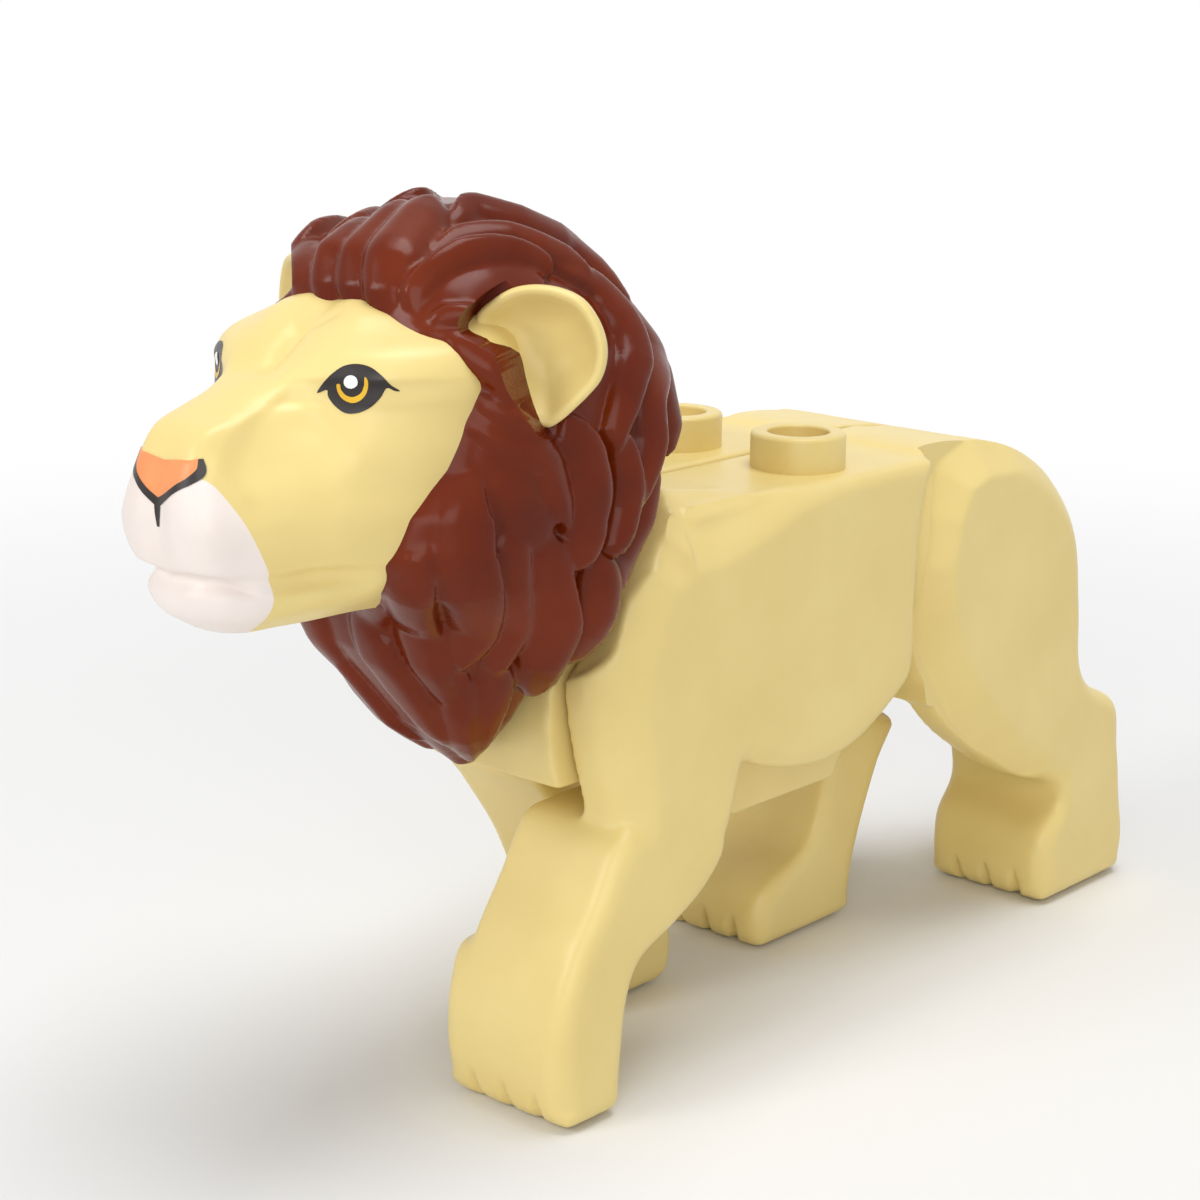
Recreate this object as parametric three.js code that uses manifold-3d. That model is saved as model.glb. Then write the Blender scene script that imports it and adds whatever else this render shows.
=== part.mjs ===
// A standing toy lion in moulded plastic: two body halves with the legs, a chest piece between them,
// a head that turns on a slanted neck pin, a mane of overlapping locks and a tail.
// Millimetres, +Z up. The lion faces -Y, its left side is +X, and the ground is z = 0.
// The origin lies on the ground below the middle of the whole figure, to about 0.2 mm. While the pieces are
// made, y = 0 is midway between the two studs on its back.
import * as THREE from "three";
import { mergeVertices } from "three/addons/utils/BufferGeometryUtils.js";
import Module from "manifold-3d";

// Body
const stanceLength = 50; // front toe to hind heel
const deckHeight = 28.2;
const bodyWidth = 15.6;
const deckWall = 1.6;
const flankWall = 3.3;
const deckInset = 1; // from the flank's face to the edge of the deck and the rump
const shoulderRounding = 1.8;
const thighRounding = 1.5;
const legWidth = 8.1;
const forearmWidth = 6.9;
const footRounding = 1.1;
const partingGap = 0.3; // between the two halves
const seamGap = 0.3; // between the chest piece and the halves
const overrun = 2; // how far a cut runs past the face that it opens
const figureMiddleY = -1.9; // where the middle of the whole figure's length falls as it is made
const deckFrontShare = -0.23; // of the stance length, as are the next ones
const deckRearShare = 0.25;
const rumpShare = 0.444;
const forwardArmToeShare = -0.42;
const rearwardArmToeShare = -0.218;
const forwardFootToeShare = 0.06;
const rearwardFootToeShare = 0.392;

// Studs and sockets
const studPitch = 8;
const studDiameter = 4.8;
const studHeight = 1.8;
const studBore = 3.1;
const studEdge = 0.2;
const socketDiameter = 4.9;
const socketDepth = 2;

// Toes
const toeGrooveWidth = 0.9;
const toeGrooveDepth = 0.8;
const toeGrooveHeight = 2.2;
const toeGrooveStraightShare = 1 / 2; // of its height
const toeGrooveTopShare = 1 / 3; // of its width

// Chest piece
const chestWidth = 8.4;

// Neck
const neckSlopeDegrees = 45; // above the horizontal, towards the front
const neckBaseY = -14.5;
const neckBaseZ = 25.6;
const neckCollarDiameter = 9.6;
const neckCollarRise = 1.4;
const pinDiameter = 4.4;
const pinBelow = 4;
const pinAbove = 6.2;
const pinEdge = 0.4;
const pinFit = 0.05;
const headBoreFit = 0.1;
const headBossDiameter = 8.4;
const headBossGap = 0.35; // between the collar's end and the boss's end
const turningRadius = 14; // of the room in which the head and mane turn
const turningDepth = 10; // how far that room's edge falls away round the chest
const turningGap = 0.3;
const bodyReliefRadius = 7.9; // the body is cut back for the mane up to here

// Head
const headLength = 20;
const headHalfWidth = 8;
const headHeight = 14;
const headBackReach = 3; // from the neck's foot forwards to the head's back
const headBottomZ = 25.5;

// Ears
const earWidth = 5.4;
const earHeight = 6.2;
const earThickness = 1.5;
const earHollow = 1;
const earRim = 0.55;
const earSpacing = 16.2;
const earY = -22.6;
const earZ = 36.9;
const earTurnDegrees = 38; // outwards from straight ahead
const earStalkWidth = 2.6;
const earStalkHeight = 3.4;
const earStalkDepth = 1.1; // behind the ear's front, where the stalk meets its back
const earStalkRise = 1.35; // how much further back the stalk's inner end lies
const earBackShares = [1 / 3, 2 / 3, 1];
const earHollowShares = [0.66, 0.33];
const earViewShift = 1.3; // outwards, of the opening that shows the ear's hollow
const earViewDepth = 6;

// Mane
const maneHalfWidth = 8.4;
const maneLength = 22;
const maneHeight = 26.6;
const maneBackReach = 5.9; // from the neck's foot backwards to the mane's back
const maneBottomZ = 16.3;
const maneFit = 0.3;
const lockLift = 0.8;
const lockWidth = 2.7;
const lockSink = 0.7;
const crownShare = 0.97; // the highest place at which the skin's slope is taken

// Tail
const tailDiameter = 3;
const tailTipDiameter = 2;
const tailLength = 15;
const tailSwing = 8.6; // how far the tail's end stands behind the rump
const tailRootZ = 23.6;
const tailPlugLength = 3;
const tailFit = 0.1;
const rumpGap = 0.2;
const tuftDiameter = 4.4;
const tuftLength = 7;
const tuftSocketDepth = 2.2;
const tuftFit = 0.12;

// Facets
const roundSides = 24;
const stalkSides = 12;
const tailSides = 14;
const tailSteps = 12;
const headAroundSteps = 2;
const headAlongSteps = 2;
const headSpaceSteps = 1;
const earSides = 18;
const maneSides = 16;
const leastStep = 0.01;
const spanSteps = 2;
const roundingShares = [0, 1 / 2, 1];
const leastKeptShare = 0.15; // of each step of an outline, once it is drawn in

const tan = { color: 0xe9d595, roughness: 0.38, metalness: 0 };
const brown = { color: 0x6e2412, roughness: 0.32, metalness: 0 };

const wasm = await Module();
wasm.setup();

const halfWidth = bodyWidth / 2;
const neckSlope = THREE.MathUtils.degToRad(neckSlopeDegrees);
const neckAxis = new THREE.Vector3(0, -Math.cos(neckSlope), Math.sin(neckSlope));
const neckBase = new THREE.Vector3(0, neckBaseY, neckBaseZ);

// A closed geometry as a solid, turned face out where its rings ran the other way round.
function solidFrom(geometry) {
  geometry.deleteAttribute("normal");
  geometry.deleteAttribute("uv");
  const merged = mergeVertices(geometry);
  const vertProperties = merged.attributes.position.array;
  const triVerts = new Uint32Array(merged.index.array);
  const made = new wasm.Manifold(new wasm.Mesh({ numProp: 3, vertProperties, triVerts }));
  if (made.volume() > 0) return made;
  triVerts.reverse();
  return new wasm.Manifold(new wasm.Mesh({ numProp: 3, vertProperties, triVerts }));
}

function union(solids) {
  return solids.reduce((joined, next) => joined.add(next));
}

// The mirror image across the lion's middle plane.
function mirrored(solid) {
  return solid.mirror([1, 0, 0]);
}

function meshOf(name, solid, look) {
  const made = solid.getMesh();
  const geometry = new THREE.BufferGeometry();
  geometry.setAttribute("position", new THREE.BufferAttribute(made.vertProperties, 3));
  geometry.setIndex(new THREE.BufferAttribute(made.triVerts, 1));
  const faceted = geometry.toNonIndexed();
  faceted.computeVertexNormals();
  const mesh = new THREE.Mesh(faceted, new THREE.MeshStandardMaterial(look));
  mesh.name = name;
  return mesh;
}

// A skin over rings with equally many points each, closed at both ends.
function skin(rings) {
  const around = rings[0].length;
  const points = rings.flat();
  const faces = [];
  for (let ring = 0; ring + 1 < rings.length; ring += 1) {
    for (let i = 0; i < around; i += 1) {
      const a = ring * around + i;
      const b = ring * around + ((i + 1) % around);
      faces.push(a, b, a + around, b, b + around, a + around);
    }
  }
  capRing(rings[0], 0, faces, true);
  capRing(rings[rings.length - 1], (rings.length - 1) * around, faces, false);
  const geometry = new THREE.BufferGeometry();
  geometry.setFromPoints(points);
  geometry.setIndex(faces);
  return solidFrom(geometry);
}

// Triangles across a flat ring, laid out in the plane where the ring is widest.
function capRing(ring, start, faces, first) {
  const size = new THREE.Box3().setFromPoints(ring).getSize(new THREE.Vector3());
  const thin = Math.min(size.x, size.y, size.z);
  const [u, v] = size.x === thin ? ["y", "z"] : size.y === thin ? ["x", "z"] : ["x", "y"];
  const flat = ring.map((point) => new THREE.Vector2(point[u], point[v]));
  const areaOf = (corners) => THREE.ShapeUtils.area(corners.map((corner) => flat[corner]));
  const triangles = THREE.ShapeUtils.triangulateShape([...flat], []);
  const sameWay = triangles.reduce((sum, corners) => sum + areaOf(corners), 0);
  const reversed = sameWay * THREE.ShapeUtils.area(flat) < 0;
  const add = (corners) => faces.push(...(first ? corners.reverse() : corners));
  const used = new Set(triangles.flat());
  for (const corners of triangles) {
    const placed = corners.map((corner) => start + corner);
    add(reversed ? placed.reverse() : placed);
  }
  // The triangulation leaves out points on straight runs, and slivers tie those in.
  const kept = [...used].sort((a, b) => a - b);
  kept.forEach((from, i) => {
    const next = kept[(i + 1) % kept.length];
    const to = next > from ? next : next + ring.length;
    for (let skipped = from + 1; skipped < to; skipped += 1) {
      const after = (skipped + 1) % ring.length;
      add([start + from, start + (skipped % ring.length), start + after]);
    }
  });
}

// Points along a smooth curve through the controls.
function smooth(controls, closed, steps = spanSteps) {
  const curve = new THREE.CatmullRomCurve3(controls, closed, "centripetal");
  const spans = closed ? controls.length : controls.length - 1;
  const points = curve.getPoints(spans * steps);
  if (closed) points.pop();
  return points;
}

// A smooth loft through control rings.
function smoothLoft(rings, aroundSteps, alongSteps) {
  const round = rings.map((ring) => smooth(ring, true, aroundSteps));
  const columns = round[0].map((_, i) => smooth(round.map((ring) => ring[i]), false, alongSteps));
  return skin(columns[0].map((_, level) => columns.map((column) => column[level])));
}

// A surface of revolution from [radius, height] pairs, its foot at the origin and its axis along `axis`.
function turned(profile, foot, axis = new THREE.Vector3(0, 0, 1)) {
  const geometry = new THREE.LatheGeometry(
    profile.map(([radius, height]) => new THREE.Vector2(radius, height)),
    roundSides,
  );
  const up = new THREE.Vector3(0, 1, 0);
  geometry.applyQuaternion(new THREE.Quaternion().setFromUnitVectors(up, axis));
  geometry.translate(foot.x, foot.y, foot.z);
  return solidFrom(geometry);
}

function rod(diameter, from, to, foot, axis) {
  const radius = diameter / 2;
  return turned([[0, from], [radius, from], [radius, to], [0, to]], foot, axis);
}

function box(minimum, maximum) {
  const size = maximum.clone().sub(minimum);
  const middle = maximum.clone().add(minimum).multiplyScalar(0.5);
  const geometry = new THREE.BoxGeometry(size.x, size.y, size.z);
  geometry.translate(middle.x, middle.y, middle.z);
  return solidFrom(geometry);
}

// A side view outline as points with the amount of rounding at each: rows of [y share of the stance length,
// z share of the deck height, share of the rounding], with a fourth value for a corner.
function sideOutline(shares) {
  const rows = shares.map(([y, z, rounding, corner]) => ({
    point: new THREE.Vector3(rounding, y * stanceLength, z * deckHeight),
    corner: Boolean(corner),
  }));
  const first = rows.findIndex((row) => row.corner);
  const ordered = [...rows.slice(first), ...rows.slice(0, first)];
  const points = [];
  let run = [ordered[0].point];
  for (const row of [...ordered.slice(1), ordered[0]]) {
    run.push(row.point);
    if (!row.corner) continue;
    points.push(...(run.length > 2 ? smooth(run, false) : run).slice(0, -1));
    run = [row.point];
  }
  return points;
}

// A slab across X with the side outline and soft edges: `outer` rounds the far side, `inner` the near one.
function sideSlab(outline, nearX, farX, outer, inner) {
  const around = outline.length;
  const area = THREE.ShapeUtils.area(outline.map((point) => new THREE.Vector2(point.y, point.z)));
  const turn = Math.sign(area);
  const inward = outline.map((point, i) => {
    const before = outline[(i + around - 1) % around];
    const after = outline[(i + 1) % around];
    const along = new THREE.Vector2(after.y - before.y, after.z - before.z).normalize();
    return new THREE.Vector2(-along.y * turn, along.x * turn);
  });
  const edge = (edgeX, side, rounding) => {
    const amounts = foldFree(outline, inward, outline.map((point) => rounding * point.x));
    return (rounding > 0 ? roundingShares : [0]).map((share) => {
      const angle = (share * Math.PI) / 2;
      return outline.map((point, i) => {
        const inset = amounts[i] * (1 - Math.cos(angle));
        const depth = amounts[i] * (1 - Math.sin(angle));
        const y = point.y + inward[i].x * inset;
        return new THREE.Vector3(edgeX - side * depth, y, point.z + inward[i].y * inset);
      });
    });
  };
  return skin([...edge(nearX, -1, inner).reverse(), ...edge(farX, 1, outer)]);
}

// Insets that are made smaller where the outline turns too tightly for them, so that it never folds.
function foldFree(outline, inward, insets) {
  const amounts = [...insets];
  let folded = true;
  while (folded) {
    folded = false;
    outline.forEach((point, i) => {
      const j = (i + 1) % outline.length;
      const alongY = outline[j].y - point.y;
      const alongZ = outline[j].z - point.z;
      const insetY = alongY + inward[j].x * amounts[j] - inward[i].x * amounts[i];
      const insetZ = alongZ + inward[j].y * amounts[j] - inward[i].y * amounts[i];
      const kept = (alongY * insetY + alongZ * insetZ) / (alongY * alongY + alongZ * alongZ);
      if (kept > leastKeptShare) return;
      amounts[i] *= 1 - leastKeptShare;
      amounts[j] *= 1 - leastKeptShare;
      folded = true;
    });
  }
  return amounts;
}

// Left flank with the shoulder and the upper part of the forward leg.
const leftFlankShares = [
  [0.136, 1.0, 0.3, 1],
  [0, 1.0, 0.3],
  [-0.075, 1.0, 0.5],
  [-0.13, 1.0, 1.0],
  [-0.19, 1.015, 1.7],
  [-0.265, 1.03, 2.2],
  [-0.325, 0.965, 2.0],
  [-0.35, 0.85, 1.6],
  [-0.357, 0.71, 1.3],
  [-0.345, 0.6, 1.2],
  [-0.33, 0.49, 1.0],
  [-0.35, 0.42, 0.8],
  [-0.4, 0.31, 0.7],
  [-0.42, 0.2, 0.8],
  [-0.424, 0.1, 0.9],
  [-0.412, 0, 0.9, 1],
  [-0.34, 0, 0.5, 1],
  [-0.338, 0.1, 0.4],
  [-0.33, 0.2, 0.4],
  [-0.314, 0.255, 0.4],
  [-0.26, 0.3, 0.4],
  [-0.216, 0.345, 0.4],
  [-0.182, 0.43, 0.4],
  [-0.166, 0.545, 0.3, 1],
  [-0.12, 0.512, 0.3],
  [-0.04, 0.488, 0.3],
  [0.02, 0.502, 0.3],
  [0.085, 0.56, 0.3],
  [0.112, 0.6, 0.3],
  [0.115, 0.74, 0.3],
  [0.12, 0.89, 0.3],
];

// The forward front leg below the chest.
const forwardArmShares = [
  [-0.3, 0.49, 0.8],
  [-0.335, 0.48, 0.8],
  [-0.37, 0.385, 0.7],
  [-0.405, 0.29, 0.7],
  [-0.424, 0.2, 0.8],
  [-0.424, 0.1, 0.9],
  [-0.412, 0, 0.9, 1],
  [-0.34, 0, 0.5, 1],
  [-0.338, 0.1, 0.4],
  [-0.33, 0.2, 0.4],
  [-0.314, 0.255, 0.4],
  [-0.26, 0.3, 0.4],
  [-0.216, 0.345, 0.4],
  [-0.19, 0.4, 0.4],
  [-0.2, 0.47, 0.4],
];

const forwardPawShares = [
  [-0.36, 0.265, 0.6],
  [-0.404, 0.27, 0.8],
  [-0.424, 0.2, 1.0],
  [-0.427, 0.1, 1.0],
  [-0.414, 0, 0.9, 1],
  [-0.34, 0, 0.7, 1],
  [-0.336, 0.1, 0.7],
  [-0.334, 0.2, 0.7],
];

// Right flank, the same above, with the upper part of the rearward leg.
const rightFlankShares = [
  [0.136, 1.0, 0.3, 1],
  [0, 1.0, 0.3],
  [-0.075, 1.0, 0.5],
  [-0.13, 1.0, 1.0],
  [-0.19, 1.015, 1.7],
  [-0.265, 1.03, 2.2],
  [-0.325, 0.965, 2.0],
  [-0.35, 0.85, 1.6],
  [-0.357, 0.71, 1.3],
  [-0.345, 0.6, 1.2],
  [-0.3, 0.53, 0.8],
  [-0.24, 0.46, 0.5],
  [-0.2, 0.34, 0.35],
  [-0.165, 0.3, 0.3],
  [-0.125, 0.33, 0.3],
  [-0.1, 0.4, 0.3],
  [-0.075, 0.46, 0.3],
  [-0.04, 0.488, 0.3],
  [0.02, 0.502, 0.3],
  [0.085, 0.56, 0.3],
  [0.112, 0.6, 0.3],
  [0.115, 0.74, 0.3],
  [0.12, 0.89, 0.3],
];

const rearwardArmShares = [
  [-0.275, 0.495, 0.6],
  [-0.25, 0.43, 0.6],
  [-0.2, 0.3, 0.6],
  [-0.18, 0.2, 0.6],
  [-0.21, 0.13, 0.8],
  [-0.222, 0.07, 0.9],
  [-0.216, 0, 0.8, 1],
  [-0.07, 0, 0.6, 1],
  [-0.062, 0.08, 0.6],
  [-0.075, 0.17, 0.5],
  [-0.11, 0.25, 0.4],
  [-0.125, 0.35, 0.4],
  [-0.135, 0.44, 0.4],
  [-0.16, 0.5, 0.4],
  [-0.22, 0.53, 0.4],
];

// Hind quarters: the rearward leg is on the left, the forward one on the right.
const rearwardThighShares = [
  [0.12, 0.9, 1.0],
  [0.14, 0.985, 0.9],
  [0.24, 1.0, 0.9],
  [0.32, 0.965, 0.9],
  [0.39, 0.887, 0.9],
  [0.432, 0.78, 0.7],
  [0.448, 0.62, 0.6],
  [0.454, 0.497, 0.5],
  [0.476, 0.445, 0.5],
  [0.538, 0.383, 0.5],
  [0.552, 0.284, 0.6],
  [0.566, 0.17, 0.7],
  [0.576, 0.08, 0.8],
  [0.564, 0, 0.6, 1],
  [0.5, 0, 0.6, 1],
  [0.47, 0.16, 0.6],
  [0.42, 0.25, 0.8],
  [0.37, 0.28, 1.0],
  [0.3, 0.345, 1.3],
  [0.21, 0.46, 1.4],
  [0.15, 0.61, 1.5],
  [0.12, 0.75, 1.5],
];

const rearwardFootShares = [
  [0.42, 0.29, 0.5],
  [0.425, 0.21, 0.5],
  [0.395, 0.15, 0.7],
  [0.386, 0.08, 0.9],
  [0.395, 0, 0.7, 1],
  [0.562, 0, 0.7, 1],
  [0.576, 0.08, 0.9],
  [0.566, 0.17, 0.9],
  [0.552, 0.284, 0.8],
  [0.53, 0.375, 0.7],
  [0.48, 0.42, 0.6],
  [0.43, 0.4, 0.5],
];

const forwardThighShares = [
  [0.12, 0.9, 1.0],
  [0.14, 0.985, 0.9],
  [0.24, 1.0, 0.9],
  [0.32, 0.965, 0.9],
  [0.39, 0.887, 0.9],
  [0.432, 0.78, 0.8],
  [0.448, 0.62, 0.8],
  [0.42, 0.497, 0.8],
  [0.35, 0.39, 0.8],
  [0.28, 0.305, 0.8],
  [0.24, 0.13, 0.8],
  [0.2, 0, 0.6, 1],
  [0.17, 0, 0.6, 1],
  [0.165, 0.3, 0.8],
  [0.15, 0.46, 1.3],
  [0.13, 0.61, 1.5],
  [0.12, 0.75, 1.5],
];

const forwardFootShares = [
  [0.17, 0.31, 0.5],
  [0.145, 0.19, 0.5],
  [0.07, 0.12, 0.8],
  [0.056, 0.06, 0.9],
  [0.06, 0, 0.7, 1],
  [0.224, 0, 0.7, 1],
  [0.24, 0.13, 0.8],
  [0.275, 0.3, 0.6],
  [0.3, 0.38, 0.5],
  [0.24, 0.42, 0.5],
  [0.17, 0.4, 0.5],
];

// The rump between the thighs and the deck between the flanks.
const rumpShares = [
  [0.13, 0.94, 1, 1],
  [0.13, 1.0, 1],
  [0.24, 1.0, 1],
  [0.32, 0.965, 1],
  [0.39, 0.887, 1],
  [0.43, 0.78, 1],
  [0.444, 0.62, 1],
  [0.42, 0.51, 1],
  [0.3, 0.47, 1],
  [0.18, 0.5, 1, 1],
];

const deckFrontY = deckFrontShare * stanceLength;
const deckRearY = deckRearShare * stanceLength;

// Chest piece in side view; the keel under the belly ends at the forward hind leg.
const chestShares = [
  [0.12, 0.93, 1, 1],
  [-0.2, 0.93, 1],
  [-0.24, 1.03, 1],
  [-0.3, 1.02, 1],
  [-0.345, 0.9, 1],
  [-0.366, 0.74, 1],
  [-0.368, 0.62, 1],
  [-0.355, 0.545, 1, 1],
  [-0.18, 0.545, 1, 1],
  [-0.11, 0.5, 1],
  [-0.1, 0.385, 1, 1],
  [0.075, 0.385, 1, 1],
  [0.12, 0.52, 1, 1],
];

// Grooves that part four toes across the front of a foot.
function toeGrooves(frontY, middleX) {
  const spacing = legWidth / 4;
  const half = toeGrooveWidth / 2;
  return [-1, 0, 1].map((place) => {
    const x = middleX + place * spacing;
    const ring = (z, depth, width) => [
      new THREE.Vector3(x - width, frontY - overrun, z),
      new THREE.Vector3(x + width, frontY - overrun, z),
      new THREE.Vector3(x + width, frontY, z),
      new THREE.Vector3(x, frontY + depth, z),
      new THREE.Vector3(x - width, frontY, z),
    ];
    return skin([
      ring(-overrun, toeGrooveDepth, half),
      ring(toeGrooveHeight * toeGrooveStraightShare, toeGrooveDepth, half),
      ring(toeGrooveHeight, 0, half * toeGrooveTopShare),
    ]);
  });
}

function socket(x, y) {
  return rod(socketDiameter, -overrun, socketDepth, new THREE.Vector3(x, y, 0));
}

function stud(x) {
  const radius = studDiameter / 2;
  const bore = studBore / 2;
  const foot = -deckWall / 2;
  const floor = 0;
  return turned(
    [
      [0, foot],
      [radius, foot],
      [radius, studHeight - studEdge],
      [radius - studEdge, studHeight],
      [bore, studHeight],
      [bore, floor],
      [0, floor],
    ],
    new THREE.Vector3(x, 0, deckHeight),
  );
}

function chestSolid(grow) {
  const outline = sideOutline(chestShares);
  const half = chestWidth / 2;
  const block = sideSlab(outline, -half, half, 0, 0);
  if (grow === 0) return block;
  const shifts = [-grow, grow];
  const copies = shifts.flatMap((x) =>
    shifts.flatMap((y) => shifts.map((z) => block.translate([x, y, z]))),
  );
  return union([block, ...copies]);
}

// One half of the body, made on the left; `flank`, `thigh` and the rest are slabs of its own legs.
function bodyHalf({ flank, thigh, arm, foot, paw, sockets, grooves }) {
  const innerX = halfWidth - legWidth;
  const parting = partingGap / 2;
  const pieces = [
    sideSlab(sideOutline(flank), halfWidth - flankWall, halfWidth, shoulderRounding, 0),
    sideSlab(sideOutline(thigh), halfWidth - flankWall, halfWidth, thighRounding, 0),
    sideSlab(sideOutline(arm), halfWidth - forearmWidth, halfWidth, footRounding, footRounding / 2),
    sideSlab(sideOutline(foot), innerX, halfWidth, footRounding, footRounding),
    sideSlab(sideOutline(rumpShares), parting, halfWidth - deckInset, 0, 0),
    box(
      new THREE.Vector3(parting, deckFrontY, deckHeight - deckWall),
      new THREE.Vector3(halfWidth - deckInset, deckRearY, deckHeight),
    ),
    stud(studPitch / 2),
  ];
  if (paw) pieces.push(sideSlab(sideOutline(paw), innerX, halfWidth, footRounding, footRounding));
  const middleX = halfWidth - legWidth / 2;
  const cuts = [
    ...sockets.map((y) => socket(studPitch / 2, y)),
    ...grooves.flatMap((y) => toeGrooves(y, middleX)),
  ];
  return union(pieces).subtract(union(cuts));
}

// Head in level rings from the chin up: z share of the head height, then half the ring from the middle of
// the face to the back as [x share of the half width, y share of the head length in front of its back].
const headLevelShares = [
  [
    0.02, [0, 0.89], [0.1, 0.885], [0.17, 0.87], [0.23, 0.835], [0.25, 0.775],
    [0.28, 0.7], [0.3, 0.575], [0.34, 0.45], [0, 0.32],
  ],
  [
    0.08, [0, 0.955], [0.15, 0.945], [0.25, 0.92], [0.34, 0.87], [0.4, 0.79],
    [0.44, 0.71], [0.49, 0.55], [0.5, 0.37], [0, 0.24],
  ],
  [
    0.14, [0, 0.975], [0.17, 0.965], [0.29, 0.935], [0.39, 0.88], [0.49, 0.785],
    [0.55, 0.7], [0.62, 0.52], [0.6, 0.28], [0, 0.18],
  ],
  [
    0.195, [0, 0.96], [0.19, 0.955], [0.3, 0.925], [0.4, 0.87], [0.51, 0.77],
    [0.6, 0.68], [0.7, 0.51], [0.65, 0.24], [0, 0.16],
  ],
  [
    0.235, [0, 0.985], [0.2, 0.982], [0.33, 0.955], [0.44, 0.885], [0.56, 0.77],
    [0.64, 0.69], [0.75, 0.5], [0.66, 0.22], [0, 0.15],
  ],
  [
    0.35, [0, 0.995], [0.16, 1.007], [0.33, 0.985], [0.44, 0.9], [0.57, 0.775],
    [0.66, 0.7], [0.8, 0.475], [0.68, 0.2], [0, 0.15],
  ],
  [
    0.45, [0, 0.993], [0.15, 1.002], [0.3, 0.975], [0.4, 0.89], [0.54, 0.77],
    [0.65, 0.68], [0.82, 0.455], [0.68, 0.2], [0, 0.15],
  ],
  [
    0.555, [0, 0.973], [0.19, 0.973], [0.27, 0.94], [0.33, 0.855], [0.49, 0.73],
    [0.65, 0.65], [0.85, 0.44], [0.68, 0.2], [0, 0.15],
  ],
  [
    0.63, [0, 0.94], [0.19, 0.935], [0.25, 0.895], [0.29, 0.815], [0.42, 0.71],
    [0.65, 0.625], [0.86, 0.435], [0.68, 0.2], [0, 0.15],
  ],
  [
    0.671, [0, 0.885], [0.17, 0.87], [0.24, 0.835], [0.28, 0.775], [0.41, 0.695],
    [0.65, 0.615], [0.87, 0.435], [0.68, 0.2], [0, 0.15],
  ],
  [
    0.7, [0, 0.84], [0.15, 0.82], [0.23, 0.785], [0.28, 0.735], [0.4, 0.685],
    [0.65, 0.615], [0.88, 0.435], [0.68, 0.2], [0, 0.15],
  ],
  [
    0.743, [0, 0.765], [0.12, 0.755], [0.23, 0.735], [0.3, 0.71], [0.42, 0.675],
    [0.66, 0.61], [0.88, 0.43], [0.68, 0.2], [0, 0.15],
  ],
  [
    0.77, [0, 0.69], [0.12, 0.705], [0.24, 0.71], [0.33, 0.695], [0.45, 0.668],
    [0.68, 0.605], [0.87, 0.43], [0.68, 0.2], [0, 0.15],
  ],
  [
    0.83, [0, 0.64], [0.12, 0.653], [0.25, 0.66], [0.36, 0.653], [0.49, 0.63],
    [0.65, 0.58], [0.82, 0.425], [0.66, 0.2], [0, 0.15],
  ],
  [
    0.88, [0, 0.59], [0.12, 0.605], [0.25, 0.61], [0.35, 0.595], [0.45, 0.565],
    [0.6, 0.5], [0.72, 0.38], [0.6, 0.2], [0, 0.15],
  ],
  [
    0.925, [0, 0.535], [0.11, 0.55], [0.23, 0.557], [0.31, 0.55], [0.4, 0.51],
    [0.5, 0.435], [0.56, 0.355], [0.5, 0.22], [0, 0.17],
  ],
  [
    0.96, [0, 0.49], [0.09, 0.505], [0.16, 0.51], [0.23, 0.5], [0.29, 0.475],
    [0.36, 0.415], [0.4, 0.345], [0.38, 0.25], [0, 0.2],
  ],
];

// The head's skin, `grow` larger all round.
function headSolid(grow, alongSteps) {
  const backY = neckBaseY - headBackReach;
  const middleY = backY - headLength / 2;
  const rings = headLevelShares.map(([z, ...half]) => {
    const height = headBottomZ + z * headHeight + grow * (2 * z - 1);
    const left = half.map(([x, y]) => {
      const placeY = backY - y * headLength;
      const outX = x * headHalfWidth;
      const outY = placeY - middleY;
      const reach = Math.hypot(outX, outY);
      return [outX + (grow * outX) / reach, placeY + (grow * outY) / reach];
    });
    const right = left.slice(1, -1).reverse().map(([x, y]) => [-x, y]);
    return [...left, ...right].map(([x, y]) => new THREE.Vector3(x, y, height));
  });
  return smoothLoft(rings, headAroundSteps, alongSteps);
}

const earTurn = THREE.MathUtils.degToRad(earTurnDegrees);
const earFacing = new THREE.Vector3(Math.sin(earTurn), -Math.cos(earTurn), 0);
const earAcross = new THREE.Vector3(-earFacing.y, earFacing.x, 0);
const earPlace = new THREE.Vector3(earSpacing / 2, earY, earZ);

// A surface of revolution about the way that the left ear faces, `tall` times as high as wide.
function turnedAtEar(profile, tall, shift) {
  const geometry = new THREE.LatheGeometry(
    profile.map(([reach, height]) => new THREE.Vector2(reach, height)),
    earSides,
  );
  geometry.scale(1, 1, tall);
  geometry.applyQuaternion(new THREE.Quaternion().setFromUnitVectors(new THREE.Vector3(0, 1, 0), earFacing));
  const place = earPlace.clone().addScaledVector(earAcross, shift);
  geometry.translate(place.x, place.y, place.z);
  return solidFrom(geometry);
}

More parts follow.
